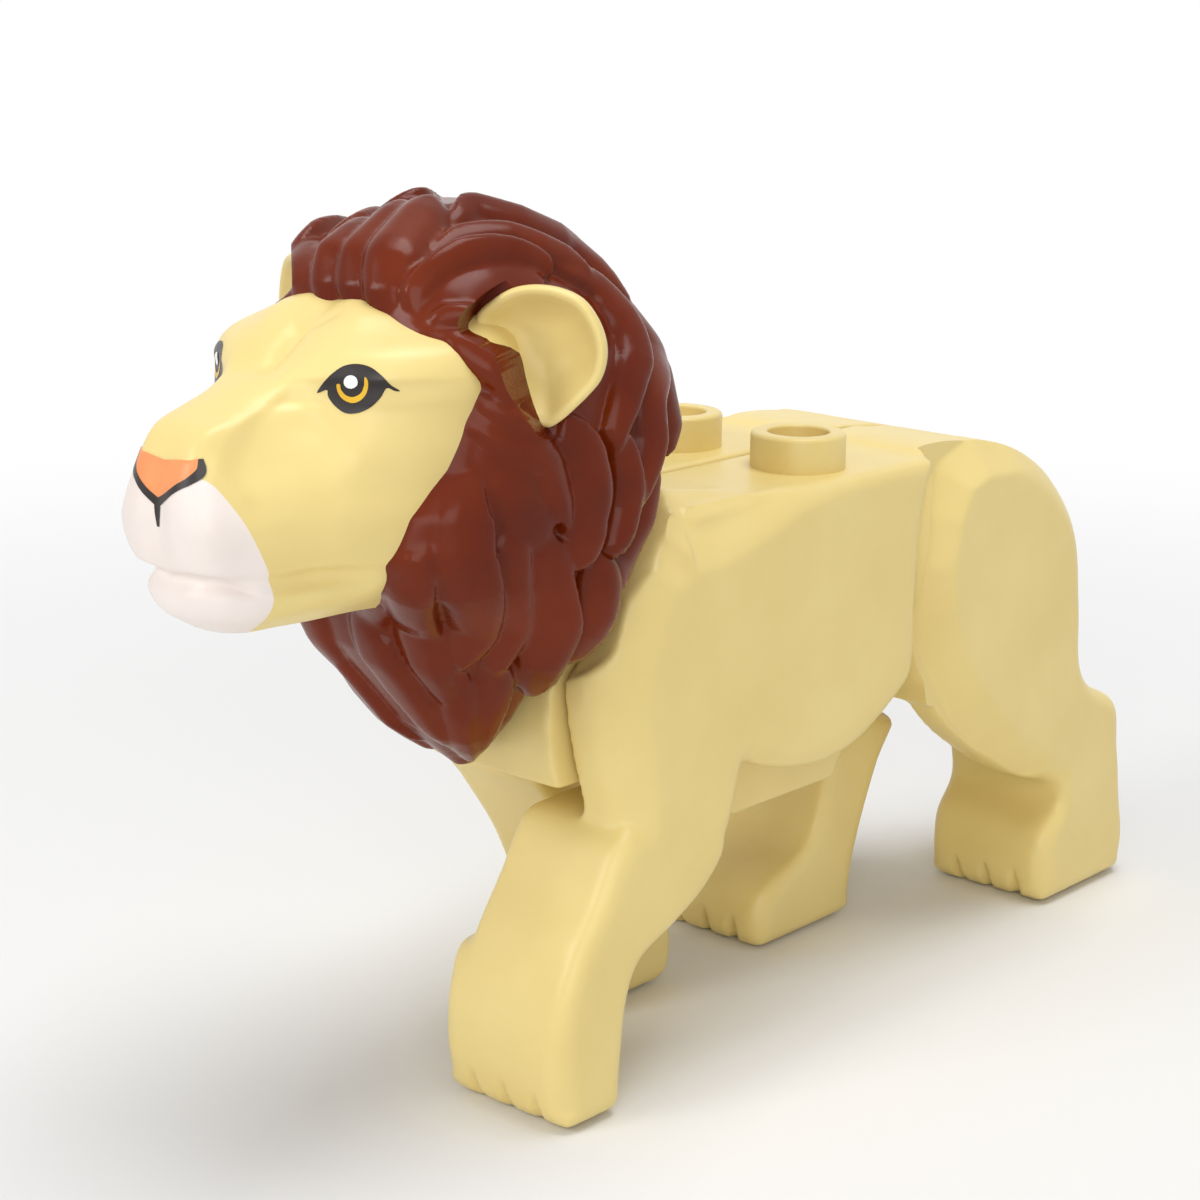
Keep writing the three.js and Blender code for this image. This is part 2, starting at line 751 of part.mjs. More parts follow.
// One ear with its stalk, `grow` larger all round.
function earSolid(grow) {
  const radius = earWidth / 2 + grow;
  const back = -earThickness - grow;
  const profile = [[0, back]];
  for (const share of earBackShares) {
    const angle = (share * Math.PI) / 2;
    profile.push([radius * Math.sin(angle), back * Math.cos(angle)]);
  }
  const rim = radius - earRim;
  profile.push([radius, grow], [rim, grow]);
  if (grow === 0) {
    for (const share of earHollowShares) profile.push([rim * share, -earHollow * (1 - share * share)]);
  }
  profile.push([0, grow > 0 ? grow : -earHollow]);
  const cup = turnedAtEar(profile, (earHeight + 2 * grow) / (earWidth + 2 * grow), 0);
  const inside = earPlace.clone().add(new THREE.Vector3(-earWidth, earStalkRise, 0));
  const up = new THREE.Vector3(0, 0, 1);
  const away = earPlace.clone().addScaledVector(earFacing, -earStalkDepth);
  const ring = (middle) =>
    Array.from({ length: stalkSides }, (_, i) => {
      const angle = (i / stalkSides) * Math.PI * 2;
      return middle
        .clone()
        .addScaledVector(earAcross, (earStalkWidth / 2 + grow) * Math.cos(angle))
        .addScaledVector(up, (earStalkHeight / 2 + grow) * Math.sin(angle));
    });
  return cup.add(skin([ring(away), ring(inside)]));
}

// The room in front of the left ear, through which its hollow is seen past the mane.
function earView() {
  const radius = earWidth / 2;
  const profile = [[0, 0], [radius, 0], [radius, earViewDepth], [0, earViewDepth]];
  return turnedAtEar(profile, earHeight / earWidth, earViewShift);
}

// The mane without its locks in level rings: shares of its height, length and half width as
// [z, front y, back y, half width, where the ring is widest, how round its front is: 1 for an ellipse].
const maneLevelShares = [
  [0.0, 0.47, 0.52, 0.04, 0.5, 1],
  [0.1, 0.33, 0.555, 0.4, 0.6, 1],
  [0.25, 0.21, 0.62, 0.8, 0.6, 0.9],
  [0.325, 0.18, 0.68, 0.9, 0.6, 0.7],
  [0.4, 0.06, 0.78, 0.95, 0.6, 0.4],
  [0.46, 0.02, 0.86, 0.98, 0.58, 0.3],
  [0.53, 0.05, 0.92, 1.0, 0.55, 0.26],
  [0.6, 0.12, 0.94, 1.0, 0.5, 0.25],
  [0.74, 0.16, 0.88, 0.98, 0.46, 0.28],
  [0.81, 0.13, 0.82, 0.9, 0.45, 0.4],
  [0.87, 0.14, 0.755, 0.76, 0.45, 0.6],
  [0.92, 0.18, 0.68, 0.6, 0.45, 0.7],
  [0.99, 0.345, 0.505, 0.18, 0.5, 1],
];

// The row of a table of shares at a place between its rows, which begin with their place.
function rowAt(rows, place) {
  const next = Math.max(1, rows.findIndex((row) => row[0] >= place));
  const last = rows.length - 1;
  const upper = place > rows[last][0] ? last : next;
  const [before, after] = [rows[upper - 1], rows[upper]];
  const share = (place - before[0]) / (after[0] - before[0]);
  return before.map((value, i) => value + (after[i] - value) * share);
}

// A place on the mane's plain skin: `round` runs from 0 at the front to 1 at the back on the left side, and
// `high` from 0 at the tip of the beard to 1 at the crown.
function manePoint(round, high) {
  const [level, front, back, wide, widest, roundness] = rowAt(maneLevelShares, high);
  const angle = round * Math.PI;
  const maneFrontY = neckBaseY + maneBackReach - maneLength;
  const frontY = maneFrontY + front * maneLength;
  const backY = maneFrontY + back * maneLength;
  const middleY = frontY + (backY - frontY) * widest;
  const reachY = Math.cos(angle) > 0 ? middleY - frontY : backY - middleY;
  const fullness = Math.cos(angle) > 0 ? roundness : 1;
  const across = Math.sign(Math.sin(angle)) * Math.abs(Math.sin(angle)) ** fullness;
  const x = wide * maneHalfWidth * across;
  return new THREE.Vector3(x, middleY - reachY * Math.cos(angle), maneBottomZ + level * maneHeight);
}

function maneNormal(round, high) {
  const step = leastStep;
  const within = Math.min(high, crownShare);
  const sideways = manePoint(round + step, within).sub(manePoint(round - step, within));
  const upwards = manePoint(round, within + step).sub(manePoint(round, within - step));
  return sideways.cross(upwards).normalize();
}

// A lock along its line on the mane's skin, with one edge that stands over the lock beside it.
function lockSolid({ line, lift }) {
  const places = line.map(([round, high]) => manePoint(round, high));
  const travelled = [0];
  places.slice(1).forEach((place, i) => travelled.push(travelled[i] + place.distanceTo(places[i])));
  const whole = travelled[travelled.length - 1];
  const rings = line.map(([round, high, width], i) => {
    const normal = maneNormal(round, high);
    const before = places[Math.max(0, i - 1)];
    const after = places[Math.min(places.length - 1, i + 1)];
    const side = after.clone().sub(before).cross(normal).normalize();
    const halfWide = (lockWidth / 2) * width;
    const rise = lockLift * lift * rowAt(lockRiseShares, travelled[i] / whole)[1];
    return lockSectionShares.map(([across, up]) =>
      places[i]
        .clone()
        .addScaledVector(side, across * halfWide)
        .addScaledVector(normal, up > 0 ? up * rise : up * lockSink),
    );
  });
  return skin(rings);
}

// How high a lock stands along its way from root to tip.
const lockRiseShares = [
  [0, 0.15],
  [0.15, 0.5],
  [0.45, 1],
  [0.8, 0.95],
  [1, 0.3],
];

// Across a lock: place and height, with the part below the skin last.
const lockSectionShares = [
  [-0.9, 0.6],
  [-0.2, 1],
  [1, 0.05],
  [0, -1],
];

// The left side's locks, which have twins on the right: a line from root to tip as [round, high, width].
const lockShares = [
  { lift: 1.2, line: [[0.12, 0.84, 0.3], [0.29, 0.91, 0.5], [0.42, 0.92, 0.5], [0.54, 0.88, 0.2]] },
  { lift: 1.1, line: [[0.29, 0.96, 0.3], [0.56, 0.98, 0.6], [0.81, 0.91, 0.5], [0.79, 0.85, 0.3]] },
  { lift: 1, line: [[0.67, 0.97, 0.3], [0.81, 0.94, 0.6], [0.78, 0.85, 0.4], [0.77, 0.8, 0.2]] },
  { lift: 1, line: [[0.59, 0.9, 0.2], [0.65, 0.78, 0.6], [0.57, 0.71, 0.6], [0.49, 0.59, 0.2]] },
  { lift: 1.1, line: [[0.79, 0.86, 0.3], [0.75, 0.74, 0.6], [0.59, 0.59, 0.5], [0.55, 0.48, 0.2]] },
  { lift: 1.1, line: [[0.77, 0.8, 0.2], [0.75, 0.73, 0.5], [0.73, 0.6, 0.5], [0.72, 0.55, 0.3]] },
  { lift: 1, line: [[0.17, 0.8, 0.2], [0.21, 0.79, 0.5], [0.27, 0.72, 0.6], [0.28, 0.69, 0.2]] },
  { lift: 0.9, line: [[0.18, 0.71, 0.2], [0.23, 0.69, 0.4], [0.3, 0.66, 0.4], [0.36, 0.64, 0.2]] },
  { lift: 0.9, line: [[0.17, 0.68, 0.3], [0.25, 0.65, 0.5], [0.4, 0.54, 0.5], [0.42, 0.48, 0.2]] },
  { lift: 1.2, line: [[0.41, 0.67, 0.3], [0.42, 0.62, 0.8], [0.45, 0.48, 0.7], [0.45, 0.41, 0.3]] },
  { lift: 0.9, line: [[0.6, 0.58, 0.2], [0.63, 0.52, 0.4], [0.64, 0.4, 0.4], [0.55, 0.37, 0.2]] },
  { lift: 1.1, line: [[0.19, 0.6, 0.3], [0.23, 0.48, 0.9], [0.26, 0.4, 0.9], [0.23, 0.24, 0.3]] },
  { lift: 0.7, line: [[0.32, 0.52, 0.3], [0.34, 0.45, 0.6], [0.31, 0.29, 0.6], [0.32, 0.23, 0.3]] },
  { lift: 1.1, line: [[0.39, 0.48, 0.4], [0.4, 0.42, 0.9], [0.43, 0.26, 0.8], [0.47, 0.17, 0.4]] },
  { lift: 1, line: [[0.49, 0.42, 0.4], [0.52, 0.35, 0.7], [0.54, 0.29, 0.6], [0.59, 0.23, 0.2]] },
  { lift: 1, line: [[0.16, 0.48, 0.3], [0.14, 0.43, 0.6], [0.16, 0.23, 0.8], [0.2, 0.16, 0.3]] },
  { lift: 1, line: [[0.19, 0.27, 0.3], [0.22, 0.2, 0.7], [0.24, 0.12, 0.7], [0.32, 0.03, 0.3]] },
  { lift: 1, line: [[0.9, 0.93, 0.4], [0.93, 0.87, 0.8], [0.93, 0.78, 0.9], [0.9, 0.69, 0.3]] },
  { lift: 0.9, line: [[0.88, 0.78, 0.4], [0.87, 0.71, 0.8], [0.85, 0.63, 0.7], [0.83, 0.56, 0.3]] },
];

// The locks across the middle, which have no twin.
const middleLockShares = [
  { lift: 0.7, line: [[-0.02, 0.83, 0.5], [-0.06, 0.88, 0.6], [-0.23, 0.91, 0.7], [-0.26, 0.92, 0.6]] },
  { lift: 0.8, line: [[0, 0.84, 0.5], [-0.01, 0.89, 0.6], [-0.03, 0.93, 0.6], [-0.1, 0.96, 0.5]] },
  { lift: 0.9, line: [[0.01, 0.84, 0.4], [0.01, 0.88, 0.6], [0.02, 0.96, 0.6], [-0.05, 0.98, 0.4]] },
  { lift: 1.1, line: [[0.06, 0.84, 0.5], [0.09, 0.89, 0.8], [0.18, 0.97, 0.8], [0.29, 0.98, 0.4]] },
  { lift: 0.9, line: [[0.05, 0.36, 0.4], [0.01, 0.28, 0.9], [0.1, 0.14, 0.7], [0.19, 0.06, 0.3]] },
  { lift: 0.8, line: [[-0.1, 0.29, 0.4], [-0.21, 0.23, 0.7], [-0.15, 0.12, 0.6], [-0.08, 0.06, 0.3]] },
  { lift: 1, line: [[1, 0.95, 0.5], [1, 0.87, 0.9], [1, 0.76, 0.9], [1, 0.66, 0.3]] },
];

function maneSolid() {
  const rings = maneLevelShares.map(([level]) =>
    Array.from({ length: maneSides }, (_, i) => manePoint((2 * i) / maneSides, level)),
  );
  const left = union(lockShares.map(lockSolid));
  return union([skin(rings), ...middleLockShares.map(lockSolid), left, mirrored(left)]);
}

function neckRod(diameter, from, to) {
  return rod(diameter, from, to, neckBase, neckAxis);
}

// The border between what turns and what stays, round the neck's axis from the axis outwards:
// share of the turning radius and share of the turning depth.
const turningBorderShares = [
  [0, -0.1],
  [0.47, -0.1],
  [0.557, -0.02],
  [0.593, -0.04],
  [0.664, -0.24],
  [0.75, -0.46],
  [1, -1],
];

// All that lies below the border, which the head and the mane keep clear of.
function belowBorder() {
  const border = turningBorderShares.map(([radius, height]) => [
    radius * turningRadius,
    height * turningDepth + turningGap / 2,
  ]);
  const foot = -2 * turningDepth;
  return turned([[0, foot], [turningRadius, foot], ...border.reverse()], neckBase, neckAxis);
}

// What the body gives up above the border, up to the relief's radius.
function aboveBorder() {
  const border = turningBorderShares
    .map(([radius, height]) => [radius * turningRadius, height * turningDepth - turningGap / 2])
    .filter(([radius]) => radius <= bodyReliefRadius);
  const last = border[border.length - 1];
  return turned(
    [...border, [bodyReliefRadius, last[1]], [bodyReliefRadius, turningDepth], [0, turningDepth]],
    neckBase,
    neckAxis,
  );
}

const bodyRelief = aboveBorder();
const chest = chestSolid(0).subtract(bodyRelief);
const chestSpace = chestSolid(seamGap)
  .add(neckRod(neckCollarDiameter + 2 * seamGap, -pinBelow - overrun - seamGap, neckCollarRise + overrun))
  .add(bodyRelief);

const rumpY = rumpShare * stanceLength;
const tailSocket = rod(
  tailDiameter + 2 * tailFit,
  -tailPlugLength - tailFit,
  overrun,
  new THREE.Vector3(0, rumpY + rumpGap, tailRootZ),
  new THREE.Vector3(0, 1, 0),
);

const leftHalf = bodyHalf({
  flank: leftFlankShares,
  thigh: rearwardThighShares,
  arm: forwardArmShares,
  paw: forwardPawShares,
  foot: rearwardFootShares,
  sockets: [3 * studPitch],
  grooves: [forwardArmToeShare * stanceLength, rearwardFootToeShare * stanceLength],
})
  .subtract(chestSpace)
  .subtract(tailSocket);

const rightHalf = mirrored(
  bodyHalf({
    flank: rightFlankShares,
    thigh: forwardThighShares,
    arm: rearwardArmShares,
    foot: forwardFootShares,
    sockets: [-studPitch, studPitch],
    grooves: [rearwardArmToeShare * stanceLength, forwardFootToeShare * stanceLength],
  }),
)
  .subtract(chestSpace)
  .subtract(tailSocket);

const chestWithNeck = chest
  .add(neckRod(neckCollarDiameter, -pinBelow - overrun, neckCollarRise))
  .subtract(neckRod(pinDiameter + 2 * pinFit, -pinBelow, neckCollarRise + overrun));
const neckPin = turned(
  [
    [0, -pinBelow + pinFit],
    [pinDiameter / 2, -pinBelow + pinFit],
    [pinDiameter / 2, pinAbove - pinEdge],
    [pinDiameter / 2 - pinEdge, pinAbove],
    [0, pinAbove],
  ],
  neckBase,
  neckAxis,
);

// The tail's middle line behind the rump, as shares of its swing and its length.
const tailPathShares = [
  [0, 0],
  [0.4, 0.05],
  [0.72, 0.3],
  [0.9, 0.62],
  [1, 1],
];

// The tuft from its top to its tip: share of its length and of its diameter.
const tuftShapeShares = [
  [0, 0.55],
  [0.12, 0.8],
  [0.35, 1],
  [0.62, 0.86],
  [0.85, 0.5],
  [1, 0.14],
];

function tailPath() {
  const rootY = rumpY + rumpGap;
  const behind = tailPathShares.map(
    ([back, down]) => new THREE.Vector3(0, rootY + back * tailSwing, tailRootZ - down * tailLength),
  );
  return new THREE.CatmullRomCurve3(behind, false, "centripetal");
}

// A ring square to a line in the middle plane.
function ringAcross(middle, along, radius, sides) {
  const across = new THREE.Vector3(1, 0, 0);
  const up = along.clone().cross(across).normalize();
  return Array.from({ length: sides }, (_, i) => {
    const angle = (i / sides) * Math.PI * 2;
    return middle
      .clone()
      .addScaledVector(across, radius * Math.cos(angle))
      .addScaledVector(up, radius * Math.sin(angle));
  });
}

function tailSolid() {
  const path = tailPath();
  const back = new THREE.Vector3(0, 1, 0);
  const plug = path.getPoint(0).addScaledVector(back, -tailPlugLength);
  const rings = [ringAcross(plug, back, tailDiameter / 2, tailSides)];
  for (let step = 0; step <= tailSteps; step += 1) {
    const share = step / tailSteps;
    const along = step === 0 ? back : path.getTangent(share);
    const radius = THREE.MathUtils.lerp(tailDiameter, tailTipDiameter, share) / 2;
    rings.push(ringAcross(path.getPoint(share), along, radius, tailSides));
  }
  const end = path.getPoint(1);
  const along = path.getTangent(1);
  const pegEnd = end.clone().addScaledVector(along, tuftSocketDepth - tuftFit);
  rings.push(ringAcross(pegEnd, along, tailTipDiameter / 2, tailSides));
  return skin(rings);
}

function tuftSolid() {
  const path = tailPath();
  const along = path.getTangent(1);
  const top = path.getPoint(1);
  const place = (share) => top.clone().addScaledVector(along, share * tuftLength);
  const rings = tuftShapeShares.map(([share, width]) =>
    ringAcross(place(share), along, (width * tuftDiameter) / 2, tailSides),
  );
  const hole = [-overrun, tuftSocketDepth].map((distance) => {
    const middle = top.clone().addScaledVector(along, distance);
    return ringAcross(middle, along, tailTipDiameter / 2 + tuftFit, tailSides);
  });
  return skin(rings).subtract(skin(hole));
}

const bossFoot = neckCollarRise + headBossGap;
const ears = earSolid(0);
const headCore = union([
  headSolid(0, headAlongSteps),
  neckRod(headBossDiameter, bossFoot, pinAbove + overrun),
  ears,
  mirrored(ears),
]);
const collarRoom = neckRod(neckCollarDiameter + 2 * turningGap, -pinBelow - overrun, bossFoot);
const bore = neckRod(pinDiameter + 2 * headBoreFit, bossFoot - overrun, pinAbove + pinEdge);
const stillRoom = union([collarRoom, belowBorder()]);
const head = headCore.subtract(stillRoom).subtract(bore);

const earSpace = earSolid(maneFit).add(earView());
const maneSpace = union([
  headSolid(maneFit, headSpaceSteps),
  neckRod(headBossDiameter + 2 * maneFit, bossFoot, pinAbove + overrun),
  stillRoom,
  earSpace,
  mirrored(earSpace),
]);
const mane = maneSolid().subtract(maneSpace);

const figure = new THREE.Group();
figure.position.y = -figureMiddleY;
figure.add(meshOf("left_half", leftHalf, tan));
figure.add(meshOf("right_half", rightHalf, tan));
figure.add(meshOf("chest", chestWithNeck, tan));
figure.add(meshOf("neck_pin", neckPin, tan));
figure.add(meshOf("head", head, tan));
figure.add(meshOf("mane", mane, brown));
figure.add(meshOf("tail", tailSolid(), tan));
figure.add(meshOf("tail_tuft", tuftSolid(), brown));

export default figure;
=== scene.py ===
"""The looks of the toy lion figure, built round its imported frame.

Pieces are made in millimetres with y = 0 midway between the two studs, as in the part's source, and then placed
in metres in the row's frame.
"""
import math

import bmesh
import bpy
import numpy as np
from mathutils import Matrix, Vector
from mathutils.bvhtree import BVHTree
from mathutils.geometry import delaunay_2d_cdt


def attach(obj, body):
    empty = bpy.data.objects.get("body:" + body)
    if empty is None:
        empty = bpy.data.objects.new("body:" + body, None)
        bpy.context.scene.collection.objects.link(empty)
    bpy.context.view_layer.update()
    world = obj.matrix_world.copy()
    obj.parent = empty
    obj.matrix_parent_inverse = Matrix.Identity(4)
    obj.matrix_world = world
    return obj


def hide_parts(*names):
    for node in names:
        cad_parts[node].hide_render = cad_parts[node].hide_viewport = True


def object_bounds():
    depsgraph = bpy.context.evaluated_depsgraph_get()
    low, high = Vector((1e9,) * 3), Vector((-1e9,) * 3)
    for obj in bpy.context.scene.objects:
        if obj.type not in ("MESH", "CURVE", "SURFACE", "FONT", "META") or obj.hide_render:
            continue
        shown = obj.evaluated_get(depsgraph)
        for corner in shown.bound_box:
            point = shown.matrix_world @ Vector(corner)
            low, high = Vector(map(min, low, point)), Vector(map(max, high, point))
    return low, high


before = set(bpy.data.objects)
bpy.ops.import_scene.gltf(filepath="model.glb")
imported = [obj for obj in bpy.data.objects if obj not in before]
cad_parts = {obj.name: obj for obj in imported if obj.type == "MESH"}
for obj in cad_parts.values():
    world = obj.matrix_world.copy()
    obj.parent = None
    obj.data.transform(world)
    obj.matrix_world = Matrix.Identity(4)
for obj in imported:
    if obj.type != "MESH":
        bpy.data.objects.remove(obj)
cad_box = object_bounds()
BOX_LOW, BOX_HIGH = (np.array(v) * 1000 for v in cad_box)

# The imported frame's origin in the part's millimetres, and the sizes that the shares below multiply.
MIDDLE_Y = -1.9
STANCE, DECK_Z, HALF_WIDTH = 50.0, 28.2, 7.8
STUD_PITCH_HALF = 4
NECK_BASE = np.array([0.0, -14.5, 25.6])
NECK_AXIS = np.array([0.0, -math.sqrt(0.5), math.sqrt(0.5)])

# The photo's camera, in the part's millimetres; its focal length is in pixels of an image this wide.
CAMERA = np.array([81.4, -102.0, 54.0])
RIGHT = np.array([0.7457, 0.6661, 0.0119])
DOWN = np.array([0.1748, -0.1784, -0.9683])
AHEAD = np.array([-0.6429, 0.7242, -0.2495])
FOCAL, IMAGE = 2589.2, 1200

# Side outlines: share of STANCE behind the studs, share of DECK_Z over the ground, and how much of its
# rounding the edge has there. A fourth number marks a sharp corner. First what several outlines share.
FLANK_FRONT = [
    [0.136, 1.0, 0.3, 1], [0, 1.0, 0.3], [-0.075, 1.0, 0.5], [-0.13, 1.0, 1.0], [-0.19, 1.015, 1.7],
    [-0.265, 1.03, 2.2], [-0.325, 0.965, 2.0], [-0.35, 0.85, 1.6], [-0.357, 0.71, 1.3], [-0.345, 0.6, 1.2],
]
FLANK_REAR = [
    [-0.04, 0.488, 0.3], [0.02, 0.502, 0.3], [0.085, 0.56, 0.3], [0.112, 0.6, 0.3], [0.115, 0.74, 0.3],
    [0.12, 0.89, 0.3],
]
FORWARD_LEG = [
    [-0.424, 0.1, 0.9], [-0.412, 0, 0.9, 1], [-0.34, 0, 0.5, 1], [-0.338, 0.1, 0.4], [-0.33, 0.2, 0.4],
    [-0.314, 0.255, 0.4], [-0.26, 0.3, 0.4], [-0.216, 0.345, 0.4],
]
THIGH_TOP = [[0.12, 0.9, 1.0], [0.14, 0.985, 0.9], [0.24, 1.0, 0.9], [0.32, 0.965, 0.9], [0.39, 0.887, 0.9]]

LEFT_FLANK = [
    *FLANK_FRONT, [-0.33, 0.49, 1.0], [-0.35, 0.42, 0.8], [-0.4, 0.31, 0.7], [-0.42, 0.2, 0.8], *FORWARD_LEG,
    [-0.182, 0.43, 0.4], [-0.166, 0.545, 0.3, 1], [-0.12, 0.512, 0.3], *FLANK_REAR,
]
RIGHT_FLANK = [
    *FLANK_FRONT, [-0.3, 0.53, 0.8], [-0.24, 0.46, 0.5], [-0.2, 0.34, 0.35], [-0.165, 0.3, 0.3],
    [-0.125, 0.33, 0.3], [-0.1, 0.4, 0.3], [-0.075, 0.46, 0.3], *FLANK_REAR,
]
FORWARD_ARM = [
    [-0.3, 0.49, 0.8], [-0.335, 0.48, 0.8], [-0.37, 0.385, 0.7], [-0.405, 0.29, 0.7], [-0.424, 0.2, 0.8],
    *FORWARD_LEG, [-0.19, 0.4, 0.4], [-0.2, 0.47, 0.4],
]
FORWARD_PAW = [
    [-0.36, 0.265, 0.6], [-0.404, 0.27, 0.8], [-0.424, 0.2, 1.0], [-0.427, 0.1, 1.0], [-0.414, 0, 0.9, 1],
    [-0.34, 0, 0.7, 1], [-0.336, 0.1, 0.7], [-0.334, 0.2, 0.7],
]
REARWARD_ARM = [
    [-0.275, 0.495, 0.6], [-0.25, 0.43, 0.6], [-0.2, 0.3, 0.6], [-0.18, 0.2, 0.6], [-0.21, 0.13, 0.8],
    [-0.222, 0.07, 0.9], [-0.216, 0, 0.8, 1], [-0.07, 0, 0.6, 1], [-0.062, 0.08, 0.6], [-0.075, 0.17, 0.5],
    [-0.11, 0.25, 0.4], [-0.125, 0.35, 0.4], [-0.135, 0.44, 0.4], [-0.16, 0.5, 0.4], [-0.22, 0.53, 0.4],
]
REARWARD_THIGH = [
    *THIGH_TOP, [0.432, 0.78, 0.7], [0.448, 0.62, 0.6], [0.454, 0.497, 0.5], [0.476, 0.445, 0.5],
    [0.538, 0.383, 0.5],
    [0.552, 0.284, 0.6], [0.566, 0.17, 0.7], [0.576, 0.08, 0.8], [0.564, 0, 0.6, 1], [0.5, 0, 0.6, 1],
    [0.47, 0.16, 0.6], [0.42, 0.25, 0.8], [0.37, 0.28, 1.0], [0.3, 0.345, 1.3], [0.21, 0.46, 1.4],
    [0.15, 0.61, 1.5], [0.12, 0.75, 1.5],
]
REARWARD_FOOT = [
    [0.42, 0.29, 0.5], [0.425, 0.21, 0.5], [0.395, 0.15, 0.7], [0.386, 0.08, 0.9], [0.395, 0, 0.7, 1],
    [0.562, 0, 0.7, 1], [0.576, 0.08, 0.9], [0.566, 0.17, 0.9], [0.552, 0.284, 0.8], [0.53, 0.375, 0.7],
    [0.48, 0.42, 0.6], [0.43, 0.4, 0.5],
]
FORWARD_THIGH = [
    *THIGH_TOP, [0.432, 0.78, 0.8], [0.448, 0.62, 0.8], [0.42, 0.497, 0.8], [0.35, 0.39, 0.8],
    [0.28, 0.305, 0.8],
    [0.24, 0.13, 0.8], [0.2, 0, 0.6, 1], [0.17, 0, 0.6, 1], [0.165, 0.3, 0.8], [0.15, 0.46, 1.3],
    [0.13, 0.61, 1.5], [0.12, 0.75, 1.5],
]
FORWARD_FOOT = [
    [0.17, 0.31, 0.5], [0.145, 0.19, 0.5], [0.07, 0.12, 0.8], [0.056, 0.06, 0.9], [0.06, 0, 0.7, 1],
    [0.224, 0, 0.7, 1], [0.24, 0.13, 0.8], [0.275, 0.3, 0.6], [0.3, 0.38, 0.5], [0.24, 0.42, 0.5],
    [0.17, 0.4, 0.5],
]
RUMP = [
    [0.13, 0.94, 1, 1], [0.13, 1.0, 1], [0.24, 1.0, 1], [0.32, 0.965, 1], [0.39, 0.887, 1], [0.43, 0.78, 1],
    [0.444, 0.62, 1], [0.42, 0.51, 1], [0.3, 0.47, 1], [0.18, 0.5, 1, 1],
]
CHEST = [
    [0.12, 0.93, 1, 1], [-0.2, 0.93, 1], [-0.24, 1.03, 1], [-0.3, 1.02, 1], [-0.345, 0.9, 1], [-0.366, 0.74, 1],
    [-0.368, 0.62, 1], [-0.355, 0.545, 1, 1], [-0.18, 0.545, 1, 1], [-0.11, 0.5, 1], [-0.1, 0.385, 1, 1],
    [0.075, 0.385, 1, 1], [0.12, 0.52, 1, 1],
]
# The head's levels: share of its height, then half the outline from the face back, as shares.
HEAD_REAR = [[0.68, 0.2], [0, 0.15]]
HEAD_LEVEL = [
    [0.02, [0, 0.89], [0.1, 0.885], [0.17, 0.87], [0.23, 0.835], [0.25, 0.775], [0.28, 0.7], [0.3, 0.575],
     [0.34, 0.45], [0, 0.32]],
    [0.08, [0, 0.955], [0.15, 0.945], [0.25, 0.92], [0.34, 0.87], [0.4, 0.79], [0.44, 0.71], [0.49, 0.55],
     [0.5, 0.37], [0, 0.24]],
    [0.14, [0, 0.975], [0.17, 0.965], [0.29, 0.935], [0.39, 0.88], [0.49, 0.785], [0.55, 0.7], [0.62, 0.52],
     [0.6, 0.28], [0, 0.18]],
    [0.195, [0, 0.96], [0.19, 0.955], [0.3, 0.925], [0.4, 0.87], [0.51, 0.77], [0.6, 0.68], [0.7, 0.51],
     [0.65, 0.24], [0, 0.16]],
    [0.235, [0, 0.985], [0.2, 0.982], [0.33, 0.955], [0.44, 0.885], [0.56, 0.77], [0.64, 0.69], [0.75, 0.5],
     [0.66, 0.22], [0, 0.15]],
    [0.35, [0, 0.995], [0.16, 1.007], [0.33, 0.985], [0.44, 0.9], [0.57, 0.775], [0.66, 0.7], [0.8, 0.475],
     *HEAD_REAR],
    [0.45, [0, 0.993], [0.15, 1.002], [0.3, 0.975], [0.4, 0.89], [0.54, 0.77], [0.65, 0.68], [0.82, 0.455],
     *HEAD_REAR],
    [0.555, [0, 0.973], [0.19, 0.973], [0.27, 0.94], [0.33, 0.855], [0.49, 0.73], [0.65, 0.65], [0.85, 0.44],
     *HEAD_REAR],
    [0.63, [0, 0.94], [0.19, 0.935], [0.25, 0.895], [0.29, 0.815], [0.42, 0.71], [0.65, 0.625], [0.86, 0.435],
     *HEAD_REAR],
    [0.671, [0, 0.885], [0.17, 0.87], [0.24, 0.835], [0.28, 0.775], [0.41, 0.695], [0.65, 0.615],
     [0.87, 0.435], *HEAD_REAR],
    [0.7, [0, 0.84], [0.15, 0.82], [0.23, 0.785], [0.28, 0.735], [0.4, 0.685], [0.65, 0.615], [0.88, 0.435],
     *HEAD_REAR],
    [0.743, [0, 0.765], [0.12, 0.755], [0.23, 0.735], [0.3, 0.71], [0.42, 0.675], [0.66, 0.61], [0.88, 0.43],
     *HEAD_REAR],
    [0.77, [0, 0.69], [0.12, 0.705], [0.24, 0.71], [0.33, 0.695], [0.45, 0.668], [0.68, 0.605], [0.87, 0.43],
     *HEAD_REAR],
    [0.83, [0, 0.64], [0.12, 0.653], [0.25, 0.66], [0.36, 0.653], [0.49, 0.63], [0.65, 0.58], [0.82, 0.425],
     [0.66, 0.2], [0, 0.15]],
    [0.88, [0, 0.59], [0.12, 0.605], [0.25, 0.61], [0.35, 0.595], [0.45, 0.565], [0.6, 0.5], [0.72, 0.38],
     [0.6, 0.2], [0, 0.15]],
    [0.925, [0, 0.535], [0.11, 0.55], [0.23, 0.557], [0.31, 0.55], [0.4, 0.51], [0.5, 0.435], [0.56, 0.355],
     [0.5, 0.22], [0, 0.17]],
    [0.96, [0, 0.49], [0.09, 0.505], [0.16, 0.51], [0.23, 0.5], [0.29, 0.475], [0.36, 0.415], [0.4, 0.345],
     [0.38, 0.25], [0, 0.2]],
]
